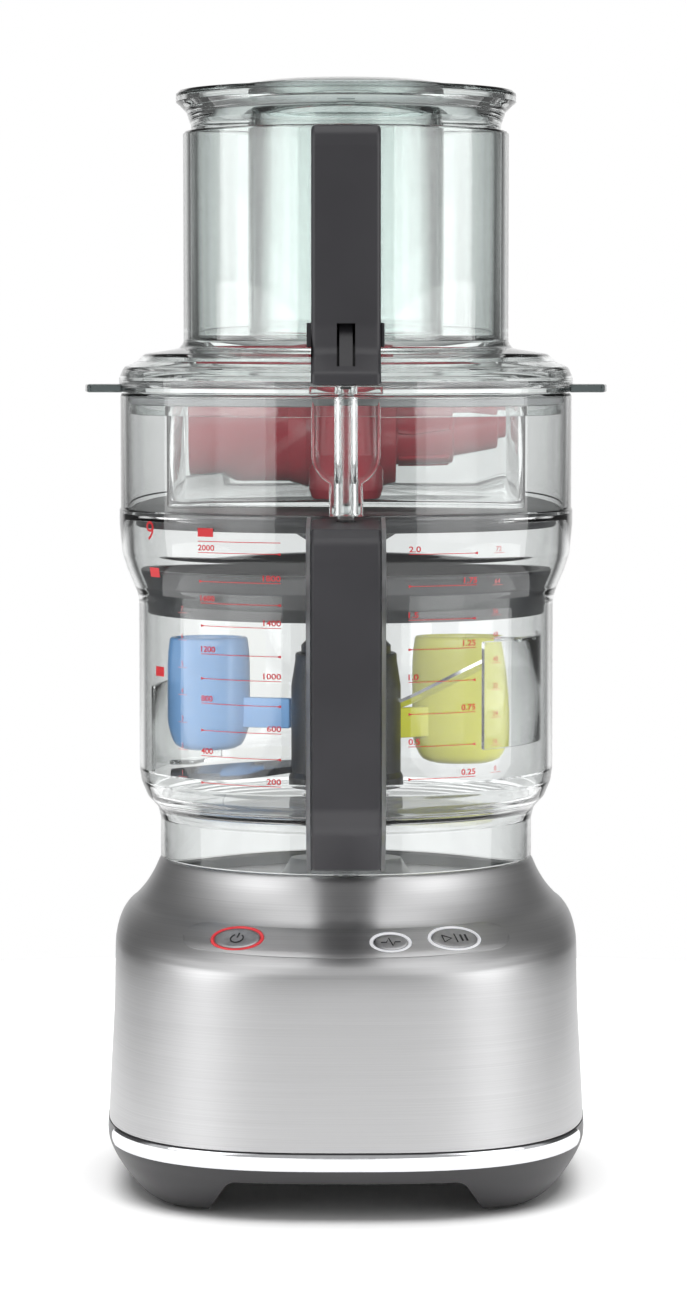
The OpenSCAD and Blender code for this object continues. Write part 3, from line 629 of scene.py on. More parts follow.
def draw_icon(name, place):
    """The generic signs on the keys: power, a pulse wave, and play with pause."""
    if name == "power":
        marks = [stroke(arc(0, -0.2, 2.5, 125, 415), 0.6), stroke([(0, 0.3), (0, 3.1)], 0.6)]
    elif name == "pulse":
        marks = [stroke([(-3.8, -0.2), (-1.6, -0.2), (-0.6, 2.2), (0.8, -2.2), (1.7, 0.1), (3.8, 0.1)], 0.5)]
    else:
        marks = [stroke([(-4.6, 2.1), (-4.6, -2.1), (-1.2, 0), (-4.6, 2.1), (-4.6, 0)], 0.5),
                 stroke([(0.6, -2.6), (0.6, 2.6)], 0.45),
                 stroke([(2.9, -1.9), (2.9, 1.9)], 0.8), stroke([(4.8, -1.9), (4.8, 1.9)], 0.8)]
    finish_mesh(name + "_icon", *moved(joined(*marks), place), "icon", name + "_key", "button_metal")


# ------------------------------------------------------------------ bowl

BOWL_OUTER = [(74.4, 128.8), (74.4, 144.4), (75.6, 148.8), (79.6, 153.0), (82.0, 158.8), (82.8, 164.0), (82.8, 231.0),
              (83.6, 234.6), (87.5, 244.0), (89.4, 250.0), (90.5, 262.0), (90.5, 267.4), (90.0, 268.0), (90.0, 312.6),
              (89.4, 313.6)]
BOWL_INNER = [(88.0, 313.6), (87.5, 312.8), (87.5, 266.0), (86.2, 264.0), (85.0, 250.6), (83.6, 245.4), (80.6, 237.6),
              (80.3, 234.0), (80.3, 164.5), (79.4, 159.6), (77.4, 155.4), (74.6, 152.2), (72.0, 151.4), (17.5, 151.4),
              (14.5, 153.0), (14.5, 178.0), (12.5, 178.0), (12.5, 148.6), (71.9, 148.6), (71.9, 128.8)]
CORNERS = {(79.6, 153.0): 5, (82.0, 158.8): 6, (82.8, 231.0): 8, (83.6, 234.6): 5, (87.5, 244.0): 6, (89.4, 250.0): 8,
           (85.0, 250.6): 8, (83.6, 245.4): 6, (80.6, 237.6): 6, (79.4, 159.6): 6, (77.4, 155.4): 5, (75.6, 148.8): 4,
           (74.4, 144.4): 3, (74.6, 152.2): 4, (72.0, 151.4): 3, (17.5, 151.4): 3}


def eased(profile, special, usual=0.45, steps=4):
    return fillet(profile, lambda i: special.get(profile[i], usual), steps)


GRIP_W, CHEEK = 26.6, 1.5
POCKET_Y = -97.5  # the interlock rod's place in the handle, boss and bar
HANDLE_OUT = [(-120, 264.2), (-126.5, 260), (-129, 252), (-129.5, 160), (-127, 151.5), (-100, 134), (-80, 131.6)]
HANDLE_IN = [(-100, 146.5), (-108, 151.5), (-111, 159), (-111, 238), (-108, 245), (-101, 249)]
HANDLE_ROUND = {(-126.5, 260): 7, (-129, 252): 12, (-127, 151.5): 9, (-129.5, 160): 9, (-100, 134): 8,
                (-100, 146.5): 6,
                (-108, 151.5): 6, (-111, 159): 8, (-111, 238): 8, (-108, 245): 5, (-101, 249): 5}


def build_bowl():
    profile = eased(BOWL_OUTER + BOWL_INNER, CORNERS)
    wall = lathe_parts(profile, 180)
    bowl = finish_mesh("bowl_wall", *wall, "clear", "bowl", "clear_plastic", ["bowl"], sharp=50)
    cut(bowl, prism_parts([(-3.4, 131), (3.4, 131), (3.4, 145), (-3.4, 145)], -78, -70, front_place), sharp=50)
    root_top, root_low = (-89.6, 267.2), (-89.0, 250.4)
    outline = [root_top] + HANDLE_OUT + [(-73.3, 131.6), (-73.3, 142)] + HANDLE_IN + [root_low]
    outline = fillet(outline, lambda i: HANDLE_ROUND.get(outline[i], 0.3), 6)
    sheet = inset_outline(outline if is_anticlockwise(outline) else outline[::-1], -0.35)
    cheeks = [prism_parts(sheet, s * (GRIP_W / 2 + 0.06), s * (GRIP_W / 2 + 0.06 + CHEEK), side_place) for s in (-1,
                                                                                                                 1)]
    finish_mesh("handle_cheeks", *joined(*cheeks), "clear_cheek", "bowl", "clear_plastic")
    build_pocket()
    outline = [(-91.4, 266.9)] + HANDLE_OUT + [(-79.5, 131.6), (-79.5, 143)] + HANDLE_IN + [(-91.4, 250.6)]
    outline = fillet(outline, lambda i: HANDLE_ROUND.get(outline[i], 0.8), 8)
    grip = finish_mesh("grip", *prism_parts(outline, -GRIP_W / 2, GRIP_W / 2, side_place, 1.6, 4), "dark",
                       "bowl",
                       "dark_plastic", ["handle_grip"], sharp=60)
    cut(grip, prism_parts([(-94.6, 254), (-94.6, 263), (-120.5, 261.6), (-126, 256), (-126, 154), (-121, 149),
                           (-80, 131),
                           (-70, 131), (-70, 141.5), (-80, 141.5), (-98, 145.6), (-118, 157), (-121, 160),
                           (-121, 253)], -4, 4, side_place), sharp=60)
    cut(grip, lathe_parts([(0, 250), (3.8, 250), (3.8, 275), (0, 275)], 32, (0, POCKET_Y)), sharp=60)


def is_anticlockwise(outline):
    return sum(a[0] * b[1] - b[0] * a[1] for a, b in zip(outline, outline[1:] + outline[:1])) > 0


def build_pocket():
    """The U-shaped boss on the front of the rim, with a round hole for the rod."""
    outline = [(13, 313.0)] + arc(0, 292, 13, 0, -62, 14) + [(6.4, 277), (6.4, 268.2), (-6.4, 268.2), (-6.4, 277)] \
        + arc(0, 292, 13, -118, -180, 14) + [(-13, 313.0)]
    outline = fillet(outline, lambda i: 1.2 if len(outline) > 8 and abs(outline[i][1] - 277) < 0.1 else 0, 4)
    boss = prism_parts(outline, -104.6, -87.2, front_place, 1.2, 3)
    obj = finish_mesh("rod_pocket", *boss, "clear", "bowl", "clear_plastic", sharp=50)
    cut(obj, lathe_parts([(0, 240), (90.1, 240), (90.1, 330), (0, 330)], 128), sharp=50)
    cut(obj, lathe_parts([(0, 240), (4.4, 240), (4.4, 330), (0, 330)], 40, (0, POCKET_Y)), sharp=50)


# ------------------------------------------------------------------ lid and chute

LID_Z = 314.0
LID = [(84.4, 305), (86.4, 305), (86.4, 309), (85.9, 309), (85.9, 312), (86.4, 312), (86.4, LID_Z), (90.5, LID_Z),
       (90.5, 319.6),
       (88.6, 324), (83.4, 326.2), (80.4, 329.2), (66.4, 331.4), (64.8, 334), (64.8, 416), (64.0, 417), (62.8, 417),
       (62, 416), (62, 322), (60.4, 318.2), (62, 318.2), (64.6, 324.6), (64.6, 328.6), (79.4, 326.6), (82.4, 323.6),
       (86.4, 321.6), (87.2, 318.6), (84.4, 316)]
LID_ROUND = {(90.5, 319.6): 2.5, (88.6, 324): 2.5, (83.4, 326.2): 1.5, (80.4, 329.2): 2, (66.4, 331.4): 2,
             (64.8, 334): 2}
BAR_W = 26.4
EAR_HALF, EAR_R = 21, 104  # half width and reach of the side ears
LIP_HALF, LIP_R = 14, 104.6  # the same for the front lip
TAB_ROOT_R, TAB_THICK = 90.6, 3.2
SLOT_HALF = 3.5  # the CAD bar's slot for its link, which is open at the front


def build_lid():
    finish_mesh("lid_shell", *lathe_parts(eased(LID, LID_ROUND, 0.3), 180), "clear_lid", "lid", "clear_plastic",
                ["lid"], sharp=50)
    tabs = []
    for s in (-1, 1):
        half = degrees(asin(EAR_HALF / EAR_R))
        sector = arc(0, 0, EAR_R, -half, half, 20) + arc(0, 0, TAB_ROOT_R, half * 1.15, -half * 1.15, 20)
        outline = [(s * x, y) for x, y in sector]
        ear = fillet(outline, lambda i: 4 if i in (0, 20) else 0, 5)
        tabs.append(prism_parts(ear, LID_Z, LID_Z + TAB_THICK, plan_place, 0.7))
    half = degrees(asin(LIP_HALF / LIP_R))
    outline = arc(0, 0, LIP_R, 270 - half, 270 + half, 12) \
        + arc(0, 0, TAB_ROOT_R, 270 + half * 1.15, 270 - half * 1.15, 12)
    front = prism_parts(fillet(outline, lambda i: 3 if i in (0, 12) else 0, 5), LID_Z, LID_Z + TAB_THICK, plan_place,
                        0.7)
    finish_mesh("lid_ears", *joined(*tabs), "clear_ear", "lid", "clear_plastic", sharp=50)
    tab = finish_mesh("lid_lip", *front, "clear_lid", "lid", "clear_plastic", sharp=50)
    cut(tab, lathe_parts([(0, 300), (4.2, 300), (4.2, 330), (0, 330)], 40, (0, POCKET_Y)), sharp=50)
    finish_mesh("seal_ring", *lathe_parts([(85.95, 309.05), (86.9, 309.3), (87.15, 310.5), (86.9, 311.7),
                                           (85.95, 311.95)], 144),
                "seal", "lid", "seal_grey", ["lid_seal"])
    outline = [(-65.4, 335), (-65.4, 415.6), (-83, 415.6), (-86, 412.6), (-87, 407.6), (-88.4, 340), (-92, 330),
               (-104, 322),
               (-104.4, 317.6), (-91.2, 317.6), (-91.0, 320), (-88.9, 324.8), (-83.7, 326.8), (-80.7, 329.8),
               (-66.8, 332.0)]
    rounds = {(-83, 415.6): 3, (-86, 412.6): 4, (-87, 407.6): 5, (-88.4, 340): 9, (-92, 330): 8, (-104, 322): 3}
    smooth = fillet(outline, lambda i: rounds.get(outline[i], 0.6), 6)
    bar = finish_mesh("chute_bar", *prism_parts(smooth, -BAR_W / 2, BAR_W / 2, side_place, 1.8, 4), "dark",
                      "lid",
                      "dark_plastic", ["lid_bar"], sharp=60)
    cut(bar, prism_parts([(-72.5, 345), (-72.5, 408), (-81.5, 408), (-81.2, 349.3), (-100.2, 326.7), (-100.2, 310),
                          (-94.8, 310), (-94.8, 320.5), (-75.8, 341.7)], -SLOT_HALF, SLOT_HALF, side_place), sharp=60)
    cut(bar, lathe_parts([(0, 310), (3.6, 310), (3.6, 321), (0, 321)], 40, (0, POCKET_Y)), sharp=60)
    cut(bar, prism_parts([(-4.2, -78), (4.2, -78), (4.2, -73), (-4.2, -73)], 380, 420, plan_place), sharp=60)
    clips = []
    for s in (-1, 1):
        outline = fillet([(-83.5, 331.5), (-74.5, 332.5), (-74.5, 341), (-81, 341)], 1.0, 3)
        clips.append(prism_parts(outline, s * (BAR_W / 2 + 0.05), s * (BAR_W / 2 + 1.45), side_place, 0.3))
    finish_mesh("bar_clips", *joined(*clips), "dark", "lid", "dark_plastic", ["lid_clips"])


# ------------------------------------------------------------------ pushers

PUSHER = [(36.8, 333.4), (60.1, 333.4), (61.5, 335), (61.5, 419), (63.4, 424.6), (66, 427.2), (67.6, 428.6),
          (67.6, 431),
          (58.4, 431), (58.4, 427), (59.2, 422), (59.2, 336), (38.9, 336), (38.9, 431), (36.8, 431)]
PUSHER_TOP = [(36.8, 431.02), (67.6, 431.02), (67.6, 431.8), (66.4, 433), (37.3, 433), (36.8, 432.6)]
SMALL = [(0, 334), (34.9, 334), (36.3, 335.4), (36.3, 433.4), (34.3, 433.4), (34.3, 336.2), (0, 336.2)]
CAP = [(0, 434), (34.2, 434), (34.2, 433.5), (43.4, 433.5), (44, 434.4), (43.2, 435.2), (34, 436.8), (18, 437.8),
       (5, 438.2),
       (0, 438.2)]


def build_pushers():
    rounds = {(61.5, 419): 8, (63.4, 424.6): 3, (66, 427.2): 2, (61.5, 335): 1.5}
    finish_mesh("wide_pusher", *lathe_parts(eased(PUSHER, rounds, 0.4), 160), "clear_lid", "large_pusher",
                "clear_smoke",
                ["large_pusher"], sharp=50)
    finish_mesh("wide_pusher_rim", *lathe_parts(eased(PUSHER_TOP, {}, 0.5), 160), "clear_smoke", "large_pusher",
                "clear_smoke",
                ["pusher_top"], sharp=50)
    finish_mesh("narrow_pusher", *lathe_parts(axis_rounded(SMALL, 0.5), 128), "clear_lid",
                "small_pusher", "clear_smoke", ["small_pusher"], sharp=50, merge=True)
    finish_mesh("narrow_pusher_cap", *lathe_parts(axis_rounded(CAP, 0.5), 128), "clear_smoke",
                "small_pusher", "clear_smoke", ["small_pusher_cap"], sharp=50, merge=True)


# ------------------------------------------------------------------ stored bin and its contents

BIN_HALF = (69.5, 46.0)
BIN_Z = (268.2, 311.8)
BIN_CORNER = 9


def rounded_box(half_x, half_y, r, z, n=8):
    pts = []
    x, y = half_x - r, half_y - r
    for cx, cy, a in ((x, y, 0), (-x, y, 90), (-x, -y, 180), (x, -y, 270)):
        pts += [(*p, z) for p in arc(cx, cy, r, a, a + 90, n)]
    return pts


def build_bin():
    x, y = BIN_HALF
    z0, z1 = BIN_Z
    steps = [(-1.2, z0), (-0.4, z0 + 0.4), (0, z0 + 1.2), (0, z1 - 2), (1.3, z1 - 2), (1.6, z1 - 1.6),
             (1.6, z1 - 0.3),
             (1.3, z1), (-1.7, z1), (-2, z1 - 0.4), (-2, z0 + 3.4), (-2.6, z0 + 2.3), (-3.6, z0 + 2)]
    rings = [rounded_box(x + out, y + out, BIN_CORNER + out, z) for out, z in steps]
    tray = finish_mesh("storage_bin", *loft_parts(rings), "clear_bin", "bowl", "clear_plastic",
                       ["accessory_bin"], sharp=50)
    u = arc(0, 292, 11, 180, 360, 24) + [(11, 330), (-11, 330)]
    cut(tray, prism_parts(u, -60, -30, front_place), sharp=50)
    turn = Matrix.Translation((0, 10, 292)) @ Matrix.Rotation(radians(90), 4, "Y")
    shaft = [(0, -34), (14.4, -34), (14.4, -62.4), (15.2, -63), (16.6, -63), (17.2, -62.4), (17.2, -23), (20, -16),
             (20, 14), (18, 20),
             (10.4, 20), (10.2, 43), (8, 43), (8, 61), (5, 61), (5, 65), (0, 65)]
    ribs = []
    for k in range(6):
        a = radians(60 * k + 15)
        m = turn @ Matrix.Rotation(a, 4, "Z")
        ribs.append(moved(prism_parts([(9.8, 21), (11.4, 21), (11.4, 41), (9.8, 42)], -0.9, 0.9, front_place, 0.2),
                          m))
    finish_mesh("adaptor_core", *moved(lathe_parts(axis_rounded(shaft, 0.9), 96), turn), "red",
                "bowl", "red_clear", ["disc_adaptor"], sharp=45, merge=True)
    finish_mesh("adaptor_ribs", *joined(*ribs), "red", "bowl", "red_clear")
    at = Matrix.Translation((0, -28, 270.3))
    hub = [(0, 30), (5, 30), (5, 0), (13.4, 0), (14.6, 4), (14.6, 12), (11.4, 18), (11.4, 44), (7.6, 49), (0, 49)]
    finish_mesh("dicing_spigot", *moved(lathe_parts(axis_rounded(hub, 1.0, 3), 64), at), "red", "bowl",
                "red_clear", ["dicing_hub"], sharp=30, merge=True)


# ------------------------------------------------------------------ discs stored above the blade


def build_discs():
    frame_ring = [(75.4, 226.4), (79.4, 226.4), (79.6, 237.8), (82.0, 243.8), (82.0, 245), (77.6, 245), (75.4, 240)]
    finish_mesh("grid_ring", *lathe_parts(eased(frame_ring, {}, 0.5), 144), "disc", "bowl", "disc_plastic",
                ["grid_frame"])
    rim = lathe_parts(fillet([(71.5, 226.6), (75.2, 226.6), (75.2, 230.4), (71.5, 230.4)], 0.4, 2), 128)
    hub = lathe_parts(fillet([(3.4, 226.4), (8, 226.4), (8, 231.4), (3.4, 231.4)], 0.5, 2), 48)
    bars = []
    for k in range(-6, 7):
        c = 6 + 12 * k
        if abs(c) > 70:
            continue
        half = sqrt(73.4 ** 2 - c * c)
        for turned in (False, True):
            spans = [(-half, half)] if abs(c) > 8 else [(-half, -7.4), (7.4, half)]
            for a, b in spans:
                section = [(c - 0.45, 226.9), (c + 0.45, 226.9), (c + 0.45, 229.4), (c, 230.3), (c - 0.45, 229.4)]
                place = side_place if turned else front_place
                bars.append(prism_parts(section, a, b, place))
    finish_mesh("grid_blades", *joined(rim, hub, *bars), "blade", "bowl", "blade_steel", ["dicing_grid"])
    plate = [(16.06, 264.5), (82.5, 264.5), (82.6, 261.0), (84.6, 261.0), (84.6, 266.8), (16.06, 266.8)]
    disc = finish_mesh("slicer_plate", *lathe_parts(fillet(plate, 0.4, 2), 160), "disc", "bowl", "disc_plastic",
                       ["slicing_disc"])
    cut(disc, prism_parts(fillet([(-4, 20), (5, 20), (5, 78), (-4, 78)], 1.5, 4), 255, 275, plan_place))
    edge = [(-6.6, 21), (1.4, 21), (1.4, 77), (-6.6, 77)]
    finish_mesh("slicer_edge", *prism_parts(fillet(edge, 0.6, 3), 266.86, 267.64, plan_place, 0.3, 2), "blade",
                "bowl",
                "blade_steel", ["slicing_blade"])
    hub = [(6, 232.6), (9, 232.6), (9, 250), (22, 256), (22, 264.3), (16, 264.3), (16, 266.8), (6, 266.8)]
    finish_mesh("slicer_hub", *lathe_parts(eased(hub, {}, 0.8), 80), "hub", "bowl", "hub_plastic", ["disc_hub"])


# ------------------------------------------------------------------ blades and hand tools on the hub

HUB_R = 22.0
BLADE_REACH = 72


def blade_parts(root_z, tip_z, tip_r, steps=40):
    """A curved blade ground to an edge along its leading side."""
    rings = []
    for i in range(steps + 1):
        u = i / steps
        x, y = lerp(19.6, tip_r, u), -20 * u * u + 6 * sin(u * pi)
        z = lerp(root_z, tip_z, u ** 1.2)
        w = lerp(8, 13, sin(radians(u * 150))) * (1 - 0.55 * u ** 3) / 2
        section = [(-1.0, -0.7), (-1.0, 0.7), (-0.6, 0.75), (0.45, 0.75), (0.98, -0.62), (1.0, -0.75), (-0.6, -0.75)]
        rings.append([(x, y + a * w, z - 0.34 * a * w + b) for a, b in section])
    return loft_parts(rings)


def ellipse(w, d, z, n=56):
    return [(*p, z) for p in oval(w, d, n)]


def tool_parts(at, size, arm_to, arm_z):
    """An elliptical cup with a rolled rim, and the flat arm that holds it to the hub."""
    w, d, h = size
    levels = [(0.5, 0), (0.66, 0.7), (0.80, 2)]
    levels += [(lerp(0.82, 1, sin(t * pi / 2)), lerp(2, 13, t)) for t in (0.15, 0.35, 0.6, 0.8, 1)]
    levels += [(1, h - 12), (0.985, h - 6), (0.95, h - 1.2), (0.93, h - 0.3), (0.90, h)]
    rings = [ellipse(w * k, d * k, z) for k, z in levels]
    rings += [ellipse(w - wall - 1.4, d - wall, z) for wall,
              z in ((5.0, h), (5.6, h - 0.8), (5.6, h - 14.8), (7.6, h - 15.4))]
    cup = moved(loft_parts(rings), Matrix.Translation(at))
    reach = hypot(*arm_to)
    turn = Matrix.Rotation(atan2(arm_to[1], arm_to[0]), 4, "Z")
    outline = fillet([(HUB_R + 1.3, arm_z), (reach, arm_z), (reach, arm_z + 12), (HUB_R + 1.3, arm_z + 12)], 0.8, 3)
    return cup, moved(prism_parts(outline, -1.7, 1.7, front_place, 0.5), turn)


def build_blades():
    hub = [(18.05, 155), (HUB_R + 1, 155), (HUB_R + 1, 160), (HUB_R, 162), (HUB_R, 196), (20.4, 206), (20.4, 209),
           (18.05, 209)]
    finish_mesh("blade_sleeve", *lathe_parts(eased(hub, {}, 1.0), 96), "hub", "blade", "hub_plastic", ["blade_hub"])
    cap = [(0, 216.05), (12, 216.05), (12, 219), (10, 221.5), (0, 221.5)]
    finish_mesh("sleeve_cap", *lathe_parts(axis_rounded(cap, 1.2), 64), "hub", "blade", "hub_plastic",
                ["blade_cap"], merge=True)
    finish_mesh("high_blade", *blade_parts(188, 215, BLADE_REACH), "blade", "blade", "blade_steel",
                ["upper_blade"], sharp=20)
    half_turn = Matrix.Rotation(pi, 4, "Z")
    finish_mesh("low_blade", *moved(blade_parts(164, 159, BLADE_REACH), half_turn), "blade", "blade",
                "blade_steel", ["lower_blade"], sharp=20)
    cup, arm = tool_parts((-56, 16, 169), (34, 22, 45), (-46, 13.4), 178.3)
    finish_mesh("blue_tool", *joined(cup, arm), "blue", "blade", "blue_plastic", ["blue_scraper"], sharp=45)
    cup, arm = tool_parts((47, 22, 163), (40, 22, 51), (36, 17), 174.2)
    finish_mesh("yellow_tool", *joined(cup, arm), "yellow", "blade", "yellow_plastic", ["yellow_scraper"], sharp=45)
    guards = []
    for side, (low, high) in enumerate(((176, 218), (162, 196))):
        turn = Matrix.Rotation(pi * side, 4, "Z")
        outline = arc(0, 0, 78.4, -47.5, 1.5, 40) + arc(0, 0, 76.9, 1.5, -47.5, 40)
        guards.append(moved(prism_parts(outline, low, high, plan_place, 0.4), turn))
        z = high - 1.6 if side == 0 else low
        flap = [(62, -24), (73.6, -24), (65.4, -41.2), (57.2, -36.6)]
        guards.append(moved(prism_parts(fillet(flap, 1.5, 3), z, z + 1.6, plan_place, 0.4), turn))
    finish_mesh("tip_guards", *joined(*guards), "clear_bin", "blade", "clear_plastic", ["blade_guard"], sharp=50)


# ------------------------------------------------------------------ CAD nodes kept as they are


def paint_carried_nodes():
    paint = {"bowl_seat": "seat", "seat_seal": "seal", "motor_stator": "laminated", "motor_windings": "copper",
             "motor_bracket": "cast", "upper_bearing": "steel", "lower_bearing": "steel", "motor_screws": "steel",
             "control_board": "board", "board_parts": "board_blue", "button_switches": "black",
             "interlock_switch": "black",
             "switch_plunger": "ivory", "cord_gland": "rubber", "tray_screws": "steel", "rotor": "laminated",
             "drive_shaft": "steel", "cooling_fan": "black", "grip_screws": "steel", "bowl_actuator": "clear_bin",
             "lid_actuator": "dark",
             "spindle": "hub", "pusher_prong": "clear_lid"}
    for node, name in paint.items():
        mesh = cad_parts[node].data
        mesh.materials.clear()
        mesh.materials.append(MAT[name])


# ------------------------------------------------------------------ scales printed on the bowl

INK_LOW, INK_TOP = 0.05, 0.09
INK_GAP = 0.12
WALL = [p for p in BOWL_OUTER if p[1] >= 150]


def wall_radius(z):
    """The outer radius of the bowl's wall at a height."""
    for (r0, z0), (r1, z1) in zip(WALL, WALL[1:]):
        if z <= z1:
            return lerp(r0, r1, (z - z0) / (z1 - z0))
    return WALL[-1][0]


def wrapped(part):
    """Flat marks, given as distance round the wall and height, laid on the wall as thin ink."""
    flat, faces = part
    verts = []
    for lift in (INK_LOW, INK_TOP):
        for x, z in flat:
            r = wall_radius(z) + INK_GAP + lift
            a = x / r
            verts.append((r * sin(a), -r * cos(a), z))
    n = len(flat)
    return verts, [tuple(n + k for k in f) for f in faces] + [tuple(reversed(f)) for f in faces]


def figures(text, x, z, height, align="CENTER", wide=1.3, bold=0.018):
    """Figures as flat marks; x is the distance round the wall."""
    curve = bpy.data.curves.new("figures", "FONT")
    curve.body = text
    curve.size = 1.0
    curve.offset = bold
    curve.resolution_u = 3
    obj = bpy.data.objects.new("figures", curve)
    mesh = bpy.data.meshes.new_from_object(obj)
    xs, ys = [v.co.x for v in mesh.vertices], [v.co.y for v in mesh.vertices]
    k = height / (max(ys) - min(ys))
    width = (max(xs) - min(xs)) * k * wide
    start = {"LEFT": x, "CENTER": x - width / 2, "RIGHT": x - width}[align]
    part = [(start + (v.co.x - min(xs)) * k * wide, z + (v.co.y - min(ys)) * k) for v in mesh.vertices], \
        [tuple(p.vertices) for p in mesh.polygons]
    bpy.data.objects.remove(obj)
    bpy.data.curves.remove(curve)
    bpy.data.meshes.remove(mesh)
    return part


def flat_box(x0, z0, x1, z1, n=6):
    xs = [lerp(x0, x1, i / n) for i in range(n + 1)]
    return [(x, z) for x in xs for z in (z0, z1)], [(2 * i, 2 * i + 2, 2 * i + 3, 2 * i + 1) for i in range(n)]


def mark(text, z, left, right, label_left, height=2.3, thick=0.26):
    """A figure above its line, with a small arrowhead at the line's far end."""
    line = flat_box(left, z - thick / 2, right, z + thick / 2)
    tip, way = (right, -1) if label_left else (left, 1)
    head = [(tip, z + 0.55), (tip, z - 0.55), (tip + way * 2.1, z)], [(0, 1, 2) if way > 0 else (0, 2, 1)]
    label = figures(text, left if label_left else right, z + 0.75, height, "LEFT" if label_left else "RIGHT")
    return joined(line, head, label)


MILLILITRES = [(2000, 253.2), (1800, 241.9), (1600, 233.3), (1400, 224.5), (1200, 213.6), (1000, 204.1), (800, 194.5),
               (600, 184.0), (400, 174.1), (200, 163.6)]
LITRES = [("2.0", 253.2), ("1.75", 240.8), ("1.5", 227.7), ("1.25", 216.4), ("1.0", 203.9), ("0.75", 191.6),
          ("0.5", 179.1),
          ("0.25", 166.6)]
# Boxes and a line left plain, as left, low, right, high
PLAIN_BOXES = [(-61.5, 259.3, -54.0, 262.6), (-61.5, 257.4, -25.2, 257.7), (-92.6, 203.2, -85.4, 207.0),
               (-92.6, 242.4, -85.4, 246.2)]
CUPS = [229.0, 218.4, 207.7, 197.1, 186.4, 175.8, 165.1]
OUNCES = [("72", 253.0), ("64", 240.4), ("56", 228.5), ("48", 219.5), ("40", 210.0), ("32", 199.6), ("24", 188.8),
          ("16", 178.0),
          ("8", 167.5)]


CUPS_LEFT, OUNCES_LEFT = -75.0, 61.5


def fine_mark(text, left, z):
    """A small figure above a short hairline."""
    return joined(figures(text, left + 2.5, z + 0.6, 1.9, wide=1.1, bold=0.0),
                  flat_box(left, z - 0.08, left + 5.5, z + 0.08))


def build_prints():
    marks = [mark(str(n), z, -61.5, -25.2, i % 2 == 0) for i, (n, z) in enumerate(MILLILITRES)]
    marks += [mark(n, z, 24.2, 53.6, i % 2 == 0) for i, (n, z) in enumerate(LITRES)]
    marks += [flat_box(*corners) for corners in PLAIN_BOXES]
    marks.append(figures("9", -90.5, 257.0, 7.4, wide=1.25, bold=0.0))
    finish_mesh("scale_marks", *joined(*[wrapped(m) for m in marks]), "ink", "bowl", "ring_red")
    fine = [fine_mark(str(len(CUPS) - i), CUPS_LEFT, z) for i, z in enumerate(CUPS)]
    fine += [fine_mark(text, OUNCES_LEFT, z) for text, z in OUNCES]
    finish_mesh("fine_marks", *joined(*[wrapped(m) for m in fine]), "pale_ink", "bowl", "ring_red")


# ------------------------------------------------------------------ floor, light and camera


FLOOR_RADIUS = 0.62  # metres
FLOOR_SIDES = 96
CLEAR_BOUNCES = 40  # enough for a ray to cross every clear wall


def build_stage():
    scene = bpy.context.scene
    scene.view_settings.view_transform = "Standard"
    scene.view_settings.look = "None"
    for kind in ("max_bounces", "transmission_bounces", "transparent_max_bounces"):
        setattr(scene.cycles, kind, CLEAR_BOUNCES)
    scene.cycles.glossy_bounces = 10
    floor = bpy.data.meshes.new("floor")
    rim = ellipse(2 * FLOOR_RADIUS, 2 * FLOOR_RADIUS, 0.0, FLOOR_SIDES)
    floor.from_pydata(rim, [], [tuple(range(FLOOR_SIDES))])
    ground = new_object("floor", floor)
    m, _, _, bsdf = new_material("pale_floor")
    set_sockets(bsdf, Base_Color=(0.90, 0.90, 0.90, 1), Roughness=0.55, Specular_IOR_Level=0.25)
    floor.materials.append(m)


def build_world():
    """White behind the object for the camera; a banded studio for light, reflections and refraction."""
    world = bpy.data.worlds.new("studio")
    bpy.context.scene.world = world
    world.use_nodes = True
    nodes, links = world.node_tree.nodes, world.node_tree.links
    back = nodes["Background"]
    path = nodes.new("ShaderNodeLightPath")
    coords = nodes.new("ShaderNodeTexCoord")
    split = nodes.new("ShaderNodeSeparateXYZ")
    links.new(coords.outputs["Generated"], split.inputs[0])

    def graded(socket, start, end, stops):
        r = ranged(nodes, links, socket, 0.0, 1.0, start, end)
        ramp = nodes.new("ShaderNodeValToRGB")
        for _ in range(len(stops) - 2):
            ramp.color_ramp.elements.new(0.5)
        for element, (at, level) in zip(ramp.color_ramp.elements, stops):
            element.position = at
            element.color = (level, level, level, 1)
        links.new(r, ramp.inputs[0])
        return ramp.outputs[0]

    around = graded(split.outputs["Y"], 1.0, -1.0, [(0.0, 1.0), (0.035, 1.0), (0.065, 0.12), (0.30, 0.08),
                                                    (0.36, 0.20), (0.42, 0.58),
                                                    (0.76, 0.52), (0.90, 0.50), (1.0, 0.42)])
    height = graded(split.outputs["Z"], -1.0, 1.0, [(0.0, 0.75), (0.42, 0.85), (0.5, 1.0), (0.72, 0.98),
                                                    (0.88, 0.78), (1.0, 0.55)])
    both = nodes.new("ShaderNodeMix")
    both.data_type = "RGBA"
    both.blend_type = "MULTIPLY"
    both.inputs["Factor"].default_value = 1.0
    links.new(around, both.inputs[6])
    links.new(height, both.inputs[7])
    mix = nodes.new("ShaderNodeMix")
    mix.data_type = "RGBA"
    links.new(path.outputs["Is Camera Ray"], mix.inputs["Factor"])
    links.new(both.outputs[2], mix.inputs[6])
    mix.inputs[7].default_value = (1, 1, 1, 1)
    links.new(mix.outputs[2], back.inputs["Color"])
    back.inputs["Strength"].default_value = 1.0


def soft_light(name, at, aim, size, watts, size_y=None):
    light = bpy.data.lights.new(name, "AREA")
    light.shape = "RECTANGLE"
    light.size = size
    if size_y:
        light.size_y = size_y
    light.energy = watts
    obj = new_object(name, light)
    obj.location = at
    obj.rotation_euler = (Vector(aim) - Vector(at)).to_track_quat("-Z", "Y").to_euler()
    return obj


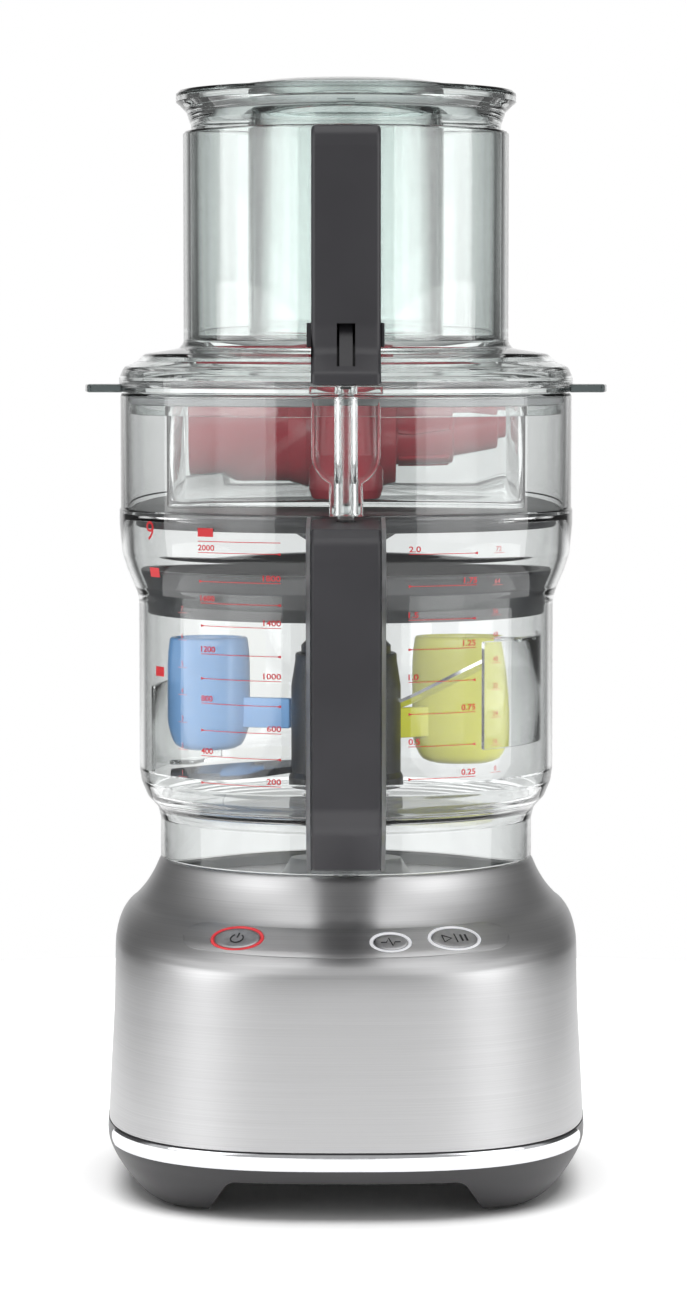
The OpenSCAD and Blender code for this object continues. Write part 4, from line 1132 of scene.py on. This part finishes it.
SOLIDS = ("base_skin", "panel", "trim", "tray_body", "power_face", "pulse_face", "start_face", "grip", "chute_bar")
INNER = ("blue_tool", "yellow_tool", "adaptor_core", "adaptor_ribs", "dicing_spigot")
GLOSSY = ("bowl_wall", "rod_pocket", "lid_shell")


def group(name, members):
    """A set of objects that a light is linked to."""
    found = bpy.data.collections.new(name)
    for member in members:
        found.objects.link(bpy.data.objects[member])
    return found


def build_lights():
    ground, solids, inner, glossy = (group("floor_only", ["floor"]), group("solid_pieces", SOLIDS),
                                     group("inner_pieces", INNER), group("bowl_reflections", GLOSSY))
    soft_light("top_panel", (0, -0.2, 1.8), (0, 0, 0.1), 1.6, 10, size_y=1.6)
    wash = soft_light("floor_wash", (0, 0.1, 1.9), (0, 0.1, 0), 2.2, 62, size_y=2.2)
    wash.light_linking.receiver_collection = ground
    lamp = soft_light("inner_light", (0, -1.3, 0.6), (0, 0, 0.24), 0.9, 9)
    lamp.light_linking.receiver_collection = inner
    lamp.light_linking.blocker_collection = inner
    for side, word in ((-1, "left"), (1, "right")):
        soft_light(word + "_panel", (side * 1.1, -0.8, 0.55), (0, 0, 0.22), 0.7, 2.4, size_y=1.1)
        body = soft_light(word + "_body_panel", (side * 1.0, -0.62, 0.70), (0, 0, 0.10), 1.1, 4.2, size_y=1.4)
        body.light_linking.receiver_collection = solids
        sheen = soft_light(word + "_bowl_panel", (side * 0.74, -0.30, 0.24), (0, 0, 0.22), 1.05, 2.6, size_y=0.34)
        sheen.light_linking.receiver_collection = glossy


CAMERA_AT = (0.0, -1.6573, 0.330)
CAMERA_TILT = 4.08  # degrees downwards
LENS = 115.8  # for a sensor 36 mm high
SHIFT_PIXELS, PHOTO_HEIGHT = -2.5, 1300


def build_camera():
    data = bpy.data.cameras.new("front")
    data.sensor_fit = "VERTICAL"
    data.sensor_height = 36
    data.lens = LENS
    camera = new_object("front", data)
    camera.location = CAMERA_AT
    camera.rotation_euler = (radians(90 - CAMERA_TILT), 0, 0)
    data.shift_x = SHIFT_PIXELS / PHOTO_HEIGHT
    data.clip_end = 50
    bpy.context.scene.camera = camera


build_base()
build_bowl()
build_lid()
build_pushers()
build_bin()
build_discs()
build_blades()
paint_carried_nodes()
build_prints()
build_stage()
build_world()
build_lights()
build_camera()
